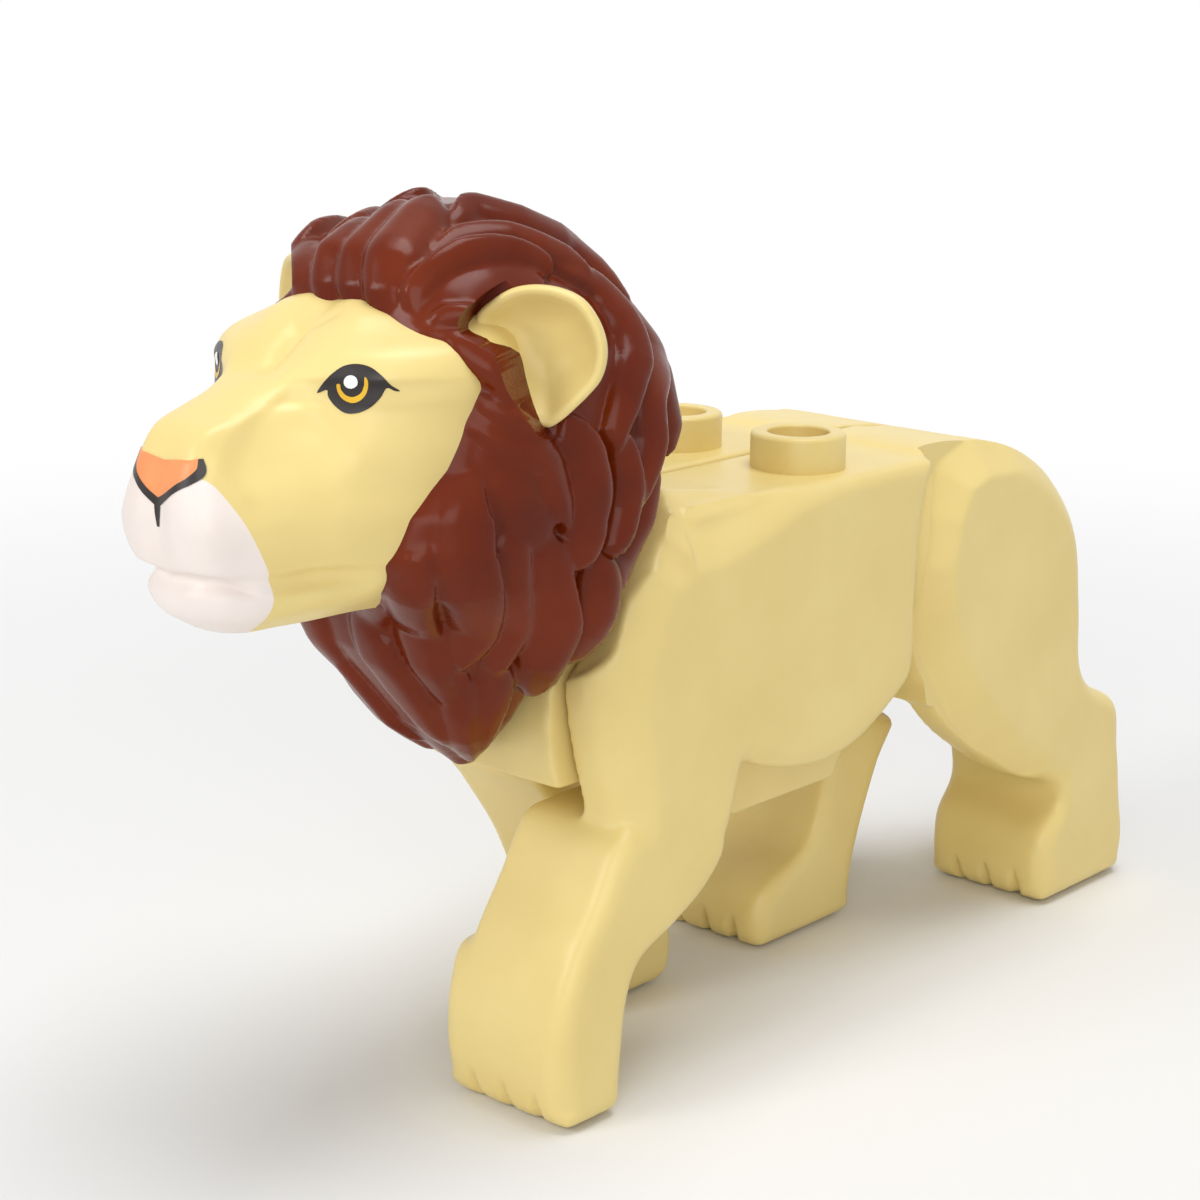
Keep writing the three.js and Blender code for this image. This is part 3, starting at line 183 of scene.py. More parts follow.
# The mane's levels: share of the way along its height table, share of its height, front, back, half width,
# where it is widest, and how full its corners are.
MANE_LEVEL = [
    [0.0, 0.47, 0.52, 0.04, 0.5, 1], [0.1, 0.33, 0.555, 0.4, 0.6, 1], [0.25, 0.21, 0.62, 0.8, 0.6, 0.9],
    [0.325, 0.18, 0.68, 0.9, 0.6, 0.7], [0.4, 0.06, 0.78, 0.95, 0.6, 0.4], [0.46, 0.02, 0.86, 0.98, 0.58, 0.3],
    [0.53, 0.05, 0.92, 1.0, 0.55, 0.26], [0.6, 0.12, 0.94, 1.0, 0.5, 0.25],
    [0.74, 0.16, 0.88, 0.98, 0.46, 0.28], [0.81, 0.13, 0.82, 0.9, 0.45, 0.4],
    [0.87, 0.14, 0.755, 0.76, 0.45, 0.6], [0.92, 0.18, 0.68, 0.6, 0.45, 0.7],
    [0.99, 0.345, 0.505, 0.18, 0.5, 1],
]
# Under what turns with the head: share of the reach from the neck's axis, share of the height along it.
TURNING_BORDER = [
    [0, -0.1], [0.47, -0.1], [0.557, -0.02], [0.593, -0.04], [0.664, -0.24], [0.75, -0.46], [1, -1],
]
# The tail as shares of its reach and drop, and the tuft's radius along its length.
TAIL_PATH = [[0, 0], [0.4, 0.05], [0.72, 0.3], [0.9, 0.62], [1, 1]]
TUFT_SHAPE = [[0, 0.55], [0.12, 0.8], [0.35, 1], [0.62, 0.86], [0.85, 0.5], [1, 0.14]]
# The locks of the mane's left side, which have twins on the right: lift, how far one edge stands over the
# next lock, and points from root to tip as (round, high, half width).
LOCKS = [
    # Over the forehead
    (1.2, 0.5, [(0.125, 0.842, 0.33), (0.185, 0.881, 0.46), (0.29, 0.912, 0.5), (0.425, 0.919, 0.47),
     (0.52, 0.904, 0.38), (0.54, 0.881, 0.17)]),
    (0.3, 0, [(0.195, 0.842, 0.33), (0.295, 0.869, 0.67), (0.42, 0.885, 0.76), (0.515, 0.877, 0.43)]),
    # Crown
    (1, 0.4, [(0.23, 0.931, 0.25), (0.37, 0.946, 0.47), (0.53, 0.935, 0.52), (0.63, 0.9, 0.43),
     (0.66, 0.862, 0.22)]),
    (1.1, 0.4, [(0.295, 0.965, 0.26), (0.56, 0.981, 0.57), (0.675, 0.958, 0.61), (0.805, 0.908, 0.54),
     (0.785, 0.854, 0.27)]),
    (1, 0.4, [(0.665, 0.969, 0.26), (0.81, 0.942, 0.58), (0.805, 0.9, 0.63), (0.78, 0.854, 0.45),
     (0.77, 0.796, 0.23)]),
    # Behind the ear
    (1, 0.5, [(0.595, 0.896, 0.22), (0.675, 0.846, 0.48), (0.645, 0.781, 0.57), (0.575, 0.715, 0.57),
     (0.515, 0.646, 0.43), (0.495, 0.592, 0.17)]),
    (1.1, 0.5, [(0.79, 0.862, 0.27), (0.77, 0.804, 0.54), (0.75, 0.738, 0.59), (0.625, 0.673, 0.58),
     (0.595, 0.592, 0.53), (0.56, 0.523, 0.4), (0.55, 0.477, 0.18)]),
    (1.1, 0.4, [(0.77, 0.8, 0.23), (0.75, 0.731, 0.5), (0.735, 0.669, 0.59), (0.73, 0.6, 0.5),
     (0.72, 0.55, 0.27)]),
    # Temple
    (0.8, 0.2, [(0.15, 0.827, 0.21), (0.22, 0.835, 0.37), (0.27, 0.831, 0.37), (0.305, 0.815, 0.21)]),
    (1, -0.2, [(0.175, 0.804, 0.25), (0.215, 0.785, 0.54), (0.255, 0.758, 0.67), (0.27, 0.723, 0.58),
     (0.275, 0.692, 0.25)]),
    # Cheek
    (0.9, 0.3, [(0.185, 0.715, 0.25), (0.235, 0.685, 0.42), (0.305, 0.658, 0.42), (0.36, 0.635, 0.21)]),
    (0.9, -0.3, [(0.165, 0.677, 0.33), (0.25, 0.654, 0.54), (0.345, 0.608, 0.59), (0.395, 0.542, 0.51),
     (0.425, 0.481, 0.22)]),
    (0.4, 0, [(0.195, 0.635, 0.42), (0.285, 0.581, 0.84), (0.345, 0.519, 0.93), (0.385, 0.458, 0.51)]),
    # Side
    (1.2, 0.4, [(0.405, 0.669, 0.34), (0.42, 0.619, 0.77), (0.44, 0.55, 0.86), (0.45, 0.477, 0.73),
     (0.45, 0.412, 0.3)]),
    (1, 0.5, [(0.49, 0.642, 0.26), (0.52, 0.588, 0.48), (0.53, 0.527, 0.53), (0.53, 0.477, 0.4),
     (0.515, 0.435, 0.18)]),
    (0.9, 0.4, [(0.6, 0.581, 0.22), (0.63, 0.519, 0.4), (0.655, 0.458, 0.45), (0.64, 0.404, 0.4),
     (0.55, 0.369, 0.18)]),
    # Jaw
    (1.1, 0.4, [(0.19, 0.596, 0.33), (0.205, 0.55, 0.71), (0.235, 0.485, 0.92), (0.255, 0.404, 0.93),
     (0.225, 0.308, 0.74), (0.225, 0.242, 0.31)]),
    (0.7, 0.3, [(0.315, 0.515, 0.34), (0.335, 0.45, 0.59), (0.325, 0.365, 0.69), (0.31, 0.288, 0.61),
     (0.32, 0.227, 0.26)]),
    (1.1, 0.5, [(0.39, 0.485, 0.43), (0.4, 0.419, 0.86), (0.405, 0.346, 0.87), (0.43, 0.262, 0.75),
     (0.475, 0.173, 0.36)]),
    (1, 0.4, [(0.49, 0.419, 0.39), (0.52, 0.354, 0.66), (0.535, 0.292, 0.62), (0.59, 0.227, 0.22)]),
    # Neck and beard
    (0.8, 0.2, [(0.67, 0.446, 0.23), (0.655, 0.404, 0.4), (0.63, 0.346, 0.45), (0.61, 0.288, 0.36),
     (0.6, 0.235, 0.18)]),
    (1, 0.3, [(0.16, 0.485, 0.33), (0.14, 0.431, 0.63), (0.115, 0.323, 0.87), (0.16, 0.235, 0.75),
     (0.2, 0.162, 0.31)]),
    (1, 0.3, [(0.19, 0.269, 0.31), (0.22, 0.196, 0.66), (0.245, 0.115, 0.68), (0.32, 0.027, 0.28)]),
    (0.9, 0.2, [(0.3, 0.269, 0.31), (0.33, 0.196, 0.66), (0.34, 0.123, 0.59), (0.365, 0.038, 0.23)]),
    # Back of the head
    (1, 0.4, [(0.9, 0.94, 0.3), (0.93, 0.88, 0.6), (0.93, 0.79, 0.7), (0.91, 0.7, 0.6), (0.88, 0.64, 0.25)]),
    (0.9, 0.4, [(0.87, 0.79, 0.3), (0.87, 0.71, 0.6), (0.86, 0.63, 0.6), (0.83, 0.56, 0.25)]),
    (0.9, 0.3, [(0.97, 0.72, 0.3), (0.95, 0.64, 0.6), (0.92, 0.58, 0.5), (0.88, 0.54, 0.25)]),
]
# The locks across the middle, which have no twin.
MIDDLE_LOCKS = [
    # Forelock
    (0.7, 0.2, [(-0.02, 0.835, 0.52), (-0.06, 0.877, 0.65), (-0.23, 0.908, 0.7), (-0.255, 0.923, 0.62)]),
    (0.8, 0.3, [(0, 0.842, 0.47), (-0.01, 0.888, 0.6), (-0.03, 0.927, 0.64), (-0.095, 0.962, 0.52)]),
    (0.9, 0.3, [(0.01, 0.838, 0.42), (0.015, 0.877, 0.55), (0.015, 0.923, 0.59), (0.02, 0.962, 0.6),
     (-0.05, 0.992, 0.35)]),
    (1.1, 0.2, [(0.06, 0.838, 0.5), (0.09, 0.885, 0.75), (0.125, 0.935, 0.89), (0.185, 0.973, 0.77),
     (0.29, 0.996, 0.35)]),
    # Beard
    (0.9, 0.2, [(0.05, 0.365, 0.43), (0.015, 0.285, 0.88), (0.05, 0.212, 0.98), (0.105, 0.138, 0.72),
     (0.19, 0.062, 0.27)]),
    (0.8, 0, [(-0.1, 0.288, 0.45), (-0.21, 0.227, 0.73), (-0.18, 0.173, 0.73), (-0.155, 0.115, 0.64),
     (-0.08, 0.058, 0.28)]),
    # Down the back
    (1, 0.2, [(1, 0.96, 0.3), (1, 0.9, 0.6), (1, 0.8, 0.7), (1, 0.7, 0.6), (1, 0.63, 0.25)]),
]

# Curves, lofts and meshes


def smooth(points, closed, steps):
    """Points along a centripetal Catmull-Rom curve; the first axis runs along it, others are columns."""
    p = np.asarray(points, float)
    n = len(p)
    out = []
    for i in range(n if closed else n - 1):
        p1, p2 = p[i], p[(i + 1) % n]
        p0 = p[i - 1] if closed or i > 0 else 2 * p[0] - p[1]
        p3 = p[(i + 2) % n] if closed or i + 2 < n else 2 * p[n - 1] - p[n - 2]
        d0, d1, d2 = (
            np.maximum(np.linalg.norm(b - a, axis=-1, keepdims=True), 1e-9) ** 0.5
            for a, b in ((p0, p1), (p1, p2), (p2, p3))
        )
        m1 = ((p1 - p0) / d0 - (p2 - p0) / (d0 + d1) + (p2 - p1) / d1) * d1
        m2 = ((p2 - p1) / d1 - (p3 - p1) / (d1 + d2) + (p3 - p2) / d2) * d1
        for s in range(steps):
            t = s / steps
            out.append(
                p1 + m1 * t + (3 * (p2 - p1) - 2 * m1 - m2) * t * t + (2 * (p1 - p2) + m1 + m2) * t**3
            )
    if not closed:
        out.append(p[-1])
    return np.array(out)


def smooth_flat(points, closed, steps):
    return smooth([(a, b, 0) for a, b in points], closed, steps)[:, :2]


def unit(vectors):
    return vectors / np.maximum(np.linalg.norm(vectors, axis=-1, keepdims=True), 1e-9)


def angles_round(count):
    return np.arange(count) / count * 2 * math.pi


def skin(rings, closed_ends=True):
    """Vertices and faces of a tube through rings with equally many points each."""
    rings = np.asarray(rings, float)
    levels, around = rings.shape[:2]
    faces = []
    for a in range(levels - 1):
        for i in range(around):
            j = (i + 1) % around
            faces.append((a * around + i, a * around + j, (a + 1) * around + j, (a + 1) * around + i))
    if closed_ends:
        faces.append(tuple(reversed(range(around))))
        faces.append(tuple((levels - 1) * around + i for i in range(around)))
    return rings.reshape(-1, 3), faces


def lathe(profile, sides, foot, axis=(0, 0, 1)):
    """A turned form from (radius, height) pairs that start and end on the axis."""
    axis = np.asarray(axis, float)
    turn = np.array(Vector((0, 0, 1)).rotation_difference(Vector(axis)).to_matrix())
    rows = [(r, h) for r, h in profile if r > 1e-6]
    angles = angles_round(sides)
    rings = [
        np.stack([r * np.cos(angles), r * np.sin(angles), np.full(sides, float(h))], -1) for r, h in rows
    ]
    verts, faces = skin(rings, False)
    verts = np.vstack([verts, [[0, 0, profile[0][1]], [0, 0, profile[-1][1]]]])
    low, high, last = len(verts) - 2, len(verts) - 1, (len(rows) - 1) * sides
    for i in range(sides):
        j = (i + 1) % sides
        faces.append((low, j, i))
        faces.append((high, last + i, last + j))
    return verts @ turn.T + np.asarray(foot, float), faces


def rod(radius, low, high, sides, foot, axis=(0, 0, 1)):
    """A plain turned rod between two heights over its foot."""
    return lathe([(0, low), (radius, low), (radius, high), (0, high)], sides, foot, axis)


def neck_rod(radius, low, high, sides=96):
    return rod(radius, low, high, sides, NECK_BASE, NECK_AXIS)


def box(low, high):
    (a, b, c), (d, e, f) = low, high
    verts = np.array([(x, y, z) for z in (c, f) for x, y in ((a, b), (d, b), (d, e), (a, e))], float)
    faces = [(3, 2, 1, 0), (4, 5, 6, 7), (0, 1, 5, 4), (1, 2, 6, 5), (2, 3, 7, 6), (3, 0, 4, 7)]
    return verts, faces


def joined(parts):
    verts, faces, start = [], [], 0
    for v, f in parts:
        verts.append(v)
        faces += [tuple(i + start for i in face) for face in f]
        start += len(v)
    return np.vstack(verts), faces


def flipped(part):
    """The mirror image across the middle plane."""
    v, f = part
    return v * [-1, 1, 1], [tuple(reversed(face)) for face in f]


def mesh_from(name, part):
    verts, faces = part
    mesh = bpy.data.meshes.new(name)
    mesh.from_pydata([tuple(v) for v in verts], [], faces)
    bm = bmesh.new()
    bm.from_mesh(mesh)
    bmesh.ops.recalc_face_normals(bm, faces=bm.faces)
    bm.to_mesh(mesh)
    bm.free()
    mesh.update()
    return mesh


def scratch(mesh):
    obj = bpy.data.objects.new("scratch", mesh)
    bpy.context.scene.collection.objects.link(obj)
    return obj


def worked(obj, name):
    """The mesh of an object with its modifiers applied; the object goes."""
    bpy.context.view_layer.update()
    graph = bpy.context.evaluated_depsgraph_get()
    mesh = bpy.data.meshes.new_from_object(obj.evaluated_get(graph), depsgraph=graph)
    mesh.name = name
    bpy.data.objects.remove(obj)
    return mesh


def fused(mesh, voxel, rounds):
    """One moulded skin over overlapping closed forms, with its edges softened."""
    obj = scratch(mesh)
    remesh = obj.modifiers.new("remesh", "REMESH")
    remesh.mode = "VOXEL"
    remesh.voxel_size = voxel
    soften = obj.modifiers.new("soften", "SMOOTH")
    soften.factor = 0.5
    soften.iterations = rounds
    return worked(obj, mesh.name)


def cut(mesh, cutters, operation="DIFFERENCE"):
    obj = scratch(mesh)
    tools = [scratch(mesh_from("tool", part)) for part in cutters]
    for tool in tools:
        knife = obj.modifiers.new("cut", "BOOLEAN")
        knife.operation = operation
        knife.solver = "EXACT"
        knife.object = tool
    made = worked(obj, mesh.name)
    for tool in tools:
        bpy.data.objects.remove(tool)
    return made


def arrays(mesh):
    v = np.empty(len(mesh.vertices) * 3)
    mesh.vertices.foreach_get("co", v)
    n = np.empty(len(mesh.vertices) * 3)
    mesh.vertices.foreach_get("normal", n)
    return v.reshape(-1, 3), n.reshape(-1, 3)


def set_verts(mesh, verts):
    mesh.vertices.foreach_set("co", np.asarray(verts, float).ravel())
    mesh.update()


def eased(mesh, axis, limit, reach=5.0):
    """Draws the outermost points along an axis in to a limit, softly over a reach."""
    verts, _ = arrays(mesh)
    side = math.copysign(1, limit)
    place = verts[:, axis] * side
    over = max(place.max() - limit * side, 0)
    share = np.clip((place - place.max() + reach) / reach, 0, 1)
    verts[:, axis] -= side * over * share * share * (3 - 2 * share)
    set_verts(mesh, verts)


def placed(mesh, name, body, slot, material, *replaced, crease=None):
    """The finished piece in metres, riding on its body and standing for its CAD nodes."""
    verts, _ = arrays(mesh)
    set_verts(mesh, (verts - [0, MIDDLE_Y, 0]) / 1000)
    obj = bpy.data.objects.new(name, mesh)
    bpy.context.scene.collection.objects.link(obj)
    for polygon in mesh.polygons:
        polygon.use_smooth = True
    if crease:
        mesh.set_sharp_from_angle(angle=math.radians(crease))
    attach(obj, body)
    if replaced:
        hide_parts(*replaced)
    return dressed(obj, material)


def dressed(obj, material):
    obj.data.materials.clear()
    obj.data.materials.append(material)
    return obj


# Side view slabs


def side_outline(shares, steps):
    """Points in (rounding, y, z) round a side outline, smooth between its sharp corners."""
    rows = [(np.array([r[2], r[0] * STANCE, r[1] * DECK_Z]), len(r) > 3) for r in shares]
    first = next(i for i, row in enumerate(rows) if row[1])
    rows = rows[first:] + rows[:first]
    points, run = [], [rows[0][0]]
    for point, corner in rows[1:] + rows[:1]:
        run.append(point)
        if not corner:
            continue
        points += list((smooth(run, False, steps) if len(run) > 2 else np.array(run))[:-1])
        run = [point]
    return np.array(points)


def inward_of(outline):
    """The direction into the shape at each point of a side outline."""
    y, z = outline[:, 1], outline[:, 2]
    turn = np.sign((y * np.roll(z, -1) - np.roll(y, -1) * z).sum())
    step = unit(np.roll(outline, -1, 0)[:, 1:] - np.roll(outline, 1, 0)[:, 1:])
    return np.stack([-step[:, 1], step[:, 0]], -1) * turn


def fold_free(outline, inward, insets):
    """Insets made smaller wherever the inset outline would fold over itself."""
    amounts = insets.copy()
    along = np.roll(outline, -1, 0)[:, 1:] - outline[:, 1:]
    square = np.maximum((along**2).sum(-1), 1e-12)
    for _ in range(400):
        moved = inward * amounts[:, None]
        kept = ((along + np.roll(moved, -1, 0) - moved) * along).sum(-1) / square
        folded = kept <= 0.15
        if not folded.any():
            break
        touched = folded | np.roll(folded, 1)
        amounts[touched] *= 0.85
    return amounts


# How far the rounding of a side's edge bends; below a right angle it meets the flat side in a soft crease.
EDGE_BEND = math.radians(42)


def slab(shares, near, far, outer, inner, steps=6, bend=7):
    """A slab across X with the side outline and rounded edges."""
    outline = side_outline(shares, steps)
    inward = inward_of(outline)

    def edge(x, side, rounding):
        amounts = fold_free(outline, inward, rounding * outline[:, 0])
        rings = []
        for share in np.linspace(0, 1, bend) if rounding > 0 else [0]:
            angle = share * EDGE_BEND
            inset = amounts * (1 - math.cos(angle)) / (1 - math.cos(EDGE_BEND))
            depth = amounts * (1 - math.sin(angle) / math.sin(EDGE_BEND))
            flat = outline[:, 1:] + inward * inset[:, None]
            rings.append(np.column_stack([x - side * depth, flat]))
        return rings

    return skin(edge(near, -1, inner)[::-1] + edge(far, 1, outer))


def neck_place(points):
    """Radius about the neck's axis and height along it."""
    away = points - NECK_BASE
    high = away @ NECK_AXIS
    return np.linalg.norm(away - high[:, None] * NECK_AXIS, axis=1), high


# The body


# The notches between the toes: height, depth and half width.
TOE_SECTIONS = [(-1.0, 0.8, 0.42), (0.5, 0.72, 0.38), (1.1, 0.5, 0.3), (1.7, 0.1, 0.18), (2.0, -0.3, 0.1)]
TOE_PITCH = 2.0
SOCKET_RADIUS, SOCKET_DEPTH = 2.45, 2
TAIL_ROOT_Y, TAIL_ROOT_Z = 0.444 * STANCE + 0.2, 23.6


def toe_grooves(front_y, middle_x):
    """Rounded notches that part four toes, deepest at the sole."""
    parts = []
    for place in (-1, 0, 1):
        x = middle_x + place * TOE_PITCH
        rings = []
        for z, depth, width in TOE_SECTIONS:
            ring = [(x - width, front_y - 2, z), (x + width, front_y - 2, z), (x + width, front_y - 0.15, z)]
            ring += [(x + width * 0.55, front_y + depth * 0.7, z), (x, front_y + depth, z)]
            ring += [(x - width * 0.55, front_y + depth * 0.7, z), (x - width, front_y - 0.15, z)]
            rings.append(ring)
        parts.append(skin(rings))
    return parts


def body_half(side, flank, thigh, arm, foot, paw, sockets, grooves):
    """One side's flank and legs with its half of the deck; side is 1 on the left and -1 on the right."""
    outer, inner = HALF_WIDTH - 1, HALF_WIDTH - 8.1
    seam, shell = 0.15, HALF_WIDTH - 3.3
    parts = [
        slab(flank, shell, HALF_WIDTH, 1.8, 0),
        slab(thigh, shell, HALF_WIDTH, 1.5, 0),
        slab(arm, HALF_WIDTH - 6.9, HALF_WIDTH, 1.1, 0.55),
        slab(foot, inner, HALF_WIDTH, 1.1, 1.1),
        slab(RUMP, seam, outer, 0, 0),
        box((seam, -0.23 * STANCE, DECK_Z - 1.6), (outer, 0.25 * STANCE, DECK_Z)),
    ]
    if paw:
        parts.append(slab(paw, inner, HALF_WIDTH, 1.1, 1.1))
    cutters = [rod(SOCKET_RADIUS, -SOCKET_DEPTH, SOCKET_DEPTH, 64, (STUD_PITCH_HALF, y, 0)) for y in sockets]
    for y in grooves:
        cutters += toe_grooves(y, HALF_WIDTH - 4.05)
    cutters += chest_space()
    cutters.append(rod(1.6, -3.1, 2, 48, (0, TAIL_ROOT_Y, TAIL_ROOT_Z), (0, 1, 0)))
    if side < 0:
        parts = [flipped(part) for part in parts]
        cutters = [flipped(part) for part in cutters]
    mesh = cut(fused(mesh_from("half", joined(parts)), 0.2, 4), cutters)
    mesh = fused(mesh, 0.2, 3)
    round_soles(mesh, [(side * STUD_PITCH_HALF, y) for y in sockets])
    panelled(mesh, FLANK_PANEL, 1.0, side)
    panelled(mesh, THIGH_PANEL if side > 0 else FORWARD_THIGH_PANEL, 0.8, side, THIGH_START)
    return mesh


# The flat parts of the side, in the photo's pixels; past the leg's elbow and the rump they run on.
FLANK_PANEL = [
    (938, 463), (880, 474), (832, 488), (799, 505), (766, 527), (721, 541), (693, 557), (671, 583),
    (657, 613), (646, 652), (642, 691), (643, 736), (649, 780), (655, 830), (640, 846), (300, 850),
    (300, 1300), (1400, 1300), (1400, 463),
]
THIGH_PANEL = [
    (1049, 480), (1021, 472), (993, 476), (974, 491), (963, 524), (956, 569), (956, 613), (966, 652), (988, 697),
    (1021, 736), (1054, 760), (1000, 1300), (1400, 1300), (1400, 700), (1088, 640), (1082, 560), (1070, 510),
]
# The other side's thigh is turned forward, so below the flank its panel takes in the whole leg.
FORWARD_THIGH_PANEL = THIGH_PANEL[:7] + [(600, 640), (600, 1300)] + THIGH_PANEL[12:]
THIGH_START = 7.0
PANEL_DROP = 1.5


def sight(x, y):
    """The direction in which the photo's camera sees a pixel."""
    return AHEAD + (x - IMAGE / 2) / FOCAL * RIGHT + (y - IMAGE / 2) / FOCAL * DOWN


def on_side(x, y):
    """The place on the plane of the figure's left side that the photo shows at a pixel."""
    ray = sight(x, y)
    return (CAMERA + ray * (HALF_WIDTH - CAMERA[0]) / ray[0])[1:]


def panelled(mesh, outline, slope, side, least_y=-100.0):
    """Lets a side fall away round a flat panel."""
    verts, _ = arrays(mesh)
    path = np.array([on_side(x, y) for x, y in outline])
    y, z = verts[:, 1], verts[:, 2]
    inside = np.zeros(len(verts), bool)
    gap = np.full(len(verts), 1e9)
    for a, b in zip(path, np.roll(path, -1, 0)):
        spans = (a[1] > z) != (b[1] > z)
        inside ^= spans & (y < a[0] + (z - a[1]) / (b[1] - a[1]) * (b[0] - a[0]))
        along = b - a
        t = np.clip(((y - a[0]) * along[0] + (z - a[1]) * along[1]) / (along @ along), 0, 1)
        gap = np.minimum(gap, np.hypot(y - a[0] - t * along[0], z - a[1] - t * along[1]))
    limit = HALF_WIDTH - np.minimum(slope * gap, PANEL_DROP)
    over = ~inside & (verts[:, 0] * side > limit) & (y > least_y)
    verts[over, 0] = side * limit[over]
    set_verts(mesh, verts)


def round_soles(mesh, sockets, radius=1.0, rim=2.75):
    """Rounds the lower edges of each foot, but not of the sockets in the soles."""
    verts, _ = arrays(mesh)
    free = np.ones(len(verts), bool)
    for x, y in sockets:
        free &= np.hypot(verts[:, 0] - x, verts[:, 1] - y) > rim
    low = np.sort(verts[verts[:, 2] < 0.1][:, 1])
    breaks = np.flatnonzero(np.diff(low) > 1)
    for start, end in zip([0, *(breaks + 1)], [*breaks, len(low) - 1]):
        y0, y1 = low[start], low[end]
        foot = free & (verts[:, 2] < radius) & (verts[:, 1] > y0 - 1) & (verts[:, 1] < y1 + 1)
        rise = np.clip(verts[foot][:, 2], 0, radius)
        inset = radius - np.sqrt(radius**2 - (radius - rise) ** 2)
        for axis in (0, 1):
            place = verts[foot][:, axis]
            middle, half = (place.min() + place.max()) / 2, (place.max() - place.min()) / 2
            verts[foot, axis] = middle + (place - middle) * (half - inset) / half
    set_verts(mesh, verts)


CHEST_HALF, CHEST_ROOM = 4.2, 0.3


def chest_space():
    """What the halves leave free for the chest piece, the neck and the turning mane."""
    outline = side_outline(CHEST, 4)
    flat = outline[:, 1:] - inward_of(outline) * CHEST_ROOM * 1.2
    half = CHEST_HALF + CHEST_ROOM
    grown = skin([np.column_stack([np.full(len(flat), x), flat]) for x in (-half, half)])
    return [grown, neck_rod(5.1, -6.3, 3.4), relief()]


def relief(step=0.2, sides=144, reach=8.6, top=9.0, gap=0.28, swing_degrees=33, core=5.0):
    """The room that the mane sweeps as it turns, taken from the lowest of its points all round the neck."""
    verts, _ = arrays(mane)
    radius, high = neck_place(verts)
    away = verts - NECK_BASE
    side = np.cross(NECK_AXIS, [1.0, 0, 0])
    turn = np.arctan2(away @ side, away[:, 0])
    levels = int(reach / step) + 1
    floor = np.full((levels, sides), top)
    near = (radius < reach - step) & (high < top)
    for row in (np.floor(radius[near] / step).astype(int), np.ceil(radius[near] / step).astype(int)):
        column = (turn[near] / (2 * math.pi) * sides).round().astype(int) % sides
        np.minimum.at(floor, (row, column), high[near])
    swing = round(swing_degrees / 360 * sides)
    floor = np.min([np.roll(floor, shift, 1) for shift in range(-swing, swing + 1)], 0)
    floor = np.minimum(floor, np.minimum(np.roll(floor, 1, 0), np.roll(floor, -1, 0)))
    inside = int(core / step)
    floor[: inside + 1] = floor[inside]
    floor = np.minimum.accumulate(floor[::-1], 0)[::-1] - gap
    around = angles_round(sides)
    flat = np.cos(around)[:, None] * [1.0, 0, 0] + np.sin(around)[:, None] * side
    rings = []
    for level in range(inside, levels):
        rings.append(NECK_BASE + flat * (level + 1) * step + floor[level][:, None] * NECK_AXIS)
    middle = NECK_BASE + flat * 0.1 + floor[inside][:, None] * NECK_AXIS
    return skin([middle] + rings + [rings[-1] + NECK_AXIS * 2])


# A hollow stud's half section from its foot over the rim to the hollow's floor: radius, height.
STUD_SECTION = [
    (0, -0.8), (2.4, -0.8), (2.4, 1.58), (2.37, 1.69), (2.29, 1.77), (2.18, 1.8), (1.67, 1.8), (1.6, 1.78),
    (1.56, 1.72), (1.55, 1.64), (1.55, 0.06), (1.5, 0.01), (0, 0.01),
]


def with_parts(mesh, parts):
    """The mesh with finished closed forms added to it as they are."""
    bm = bmesh.new()
    bm.from_mesh(mesh)
    for part in parts:
        extra = mesh_from("extra", part)
        bm.from_mesh(extra)
        bpy.data.meshes.remove(extra)
    bm.to_mesh(mesh)
    bm.free()
    mesh.update()
    return mesh


def chest_mesh():
    block = slab(CHEST, -CHEST_HALF, CHEST_HALF, 0, 0)
    mesh = fused(mesh_from("chest", block), 0.18, 4)
    mesh = with_parts(cut(mesh, [relief()]), [neck_rod(4.8, -6, 1.4)])
    return cut(fused(mesh, 0.18, 2), [neck_rod(2.25, -4, 3.4, 64)])


# Tail


TAIL_REACH, TAIL_DROP, TAIL_SIDES = 8.6, 15.0, 48


def tail_path():
    """The tail's middle line, from its root in the rump."""
    rows = [(0, TAIL_ROOT_Y + back * TAIL_REACH, TAIL_ROOT_Z - down * TAIL_DROP) for back, down in TAIL_PATH]
    return smooth(rows, False, 8)


def ring_across(middle, along, radius, sides):
    along = np.asarray(along, float) / np.linalg.norm(along)
    across = np.array([1.0, 0, 0])
    up = np.cross(along, across)
    angles = angles_round(sides)
    radius = np.broadcast_to(radius, sides)
    return middle + (radius * np.cos(angles))[:, None] * across + (radius * np.sin(angles))[:, None] * up


def tail_part():
    path = tail_path()
    tangents = np.gradient(path, axis=0)
    rings = [ring_across(path[0] - [0, back, 0], (0, 1, 0), 1.5, TAIL_SIDES) for back in (3.0, 0)]
    for i in range(1, len(path)):
        share = i / (len(path) - 1)
        rings.append(ring_across(path[i], tangents[i], (3.0 * (1 - share) + 2.0 * share) / 2, TAIL_SIDES))
    end = tangents[-1] / np.linalg.norm(tangents[-1])
    rings.append(ring_across(path[-1] + end * 2.08, end, 1.0, TAIL_SIDES))
    return skin(rings)


def tuft_mesh(sides=96, length=7.0, radius=2.2, flute=0.07, flutes=7, twist=1.1):
    """A brush of hair with shallow twisted flutes, bored for the tail's end."""
    path = tail_path()
    along = path[-1] - path[-2]
    along /= np.linalg.norm(along)
    angles = angles_round(sides)
    rings = []
    for share, wide in smooth_flat(TUFT_SHAPE, False, 8):
        wave = 1 + flute * np.sin(share * math.pi) * np.cos(flutes * (angles + twist * share)) ** 3
        rings.append(ring_across(path[-1] + along * share * length, along, wide * radius * wave * 0.955, sides))
    hole = [ring_across(path[-1] + along * d, along, 1.12, TAIL_SIDES) for d in (-2.0, 2.2)]
    return cut(mesh_from("tuft", skin(rings)), [skin(hole)])


# The head

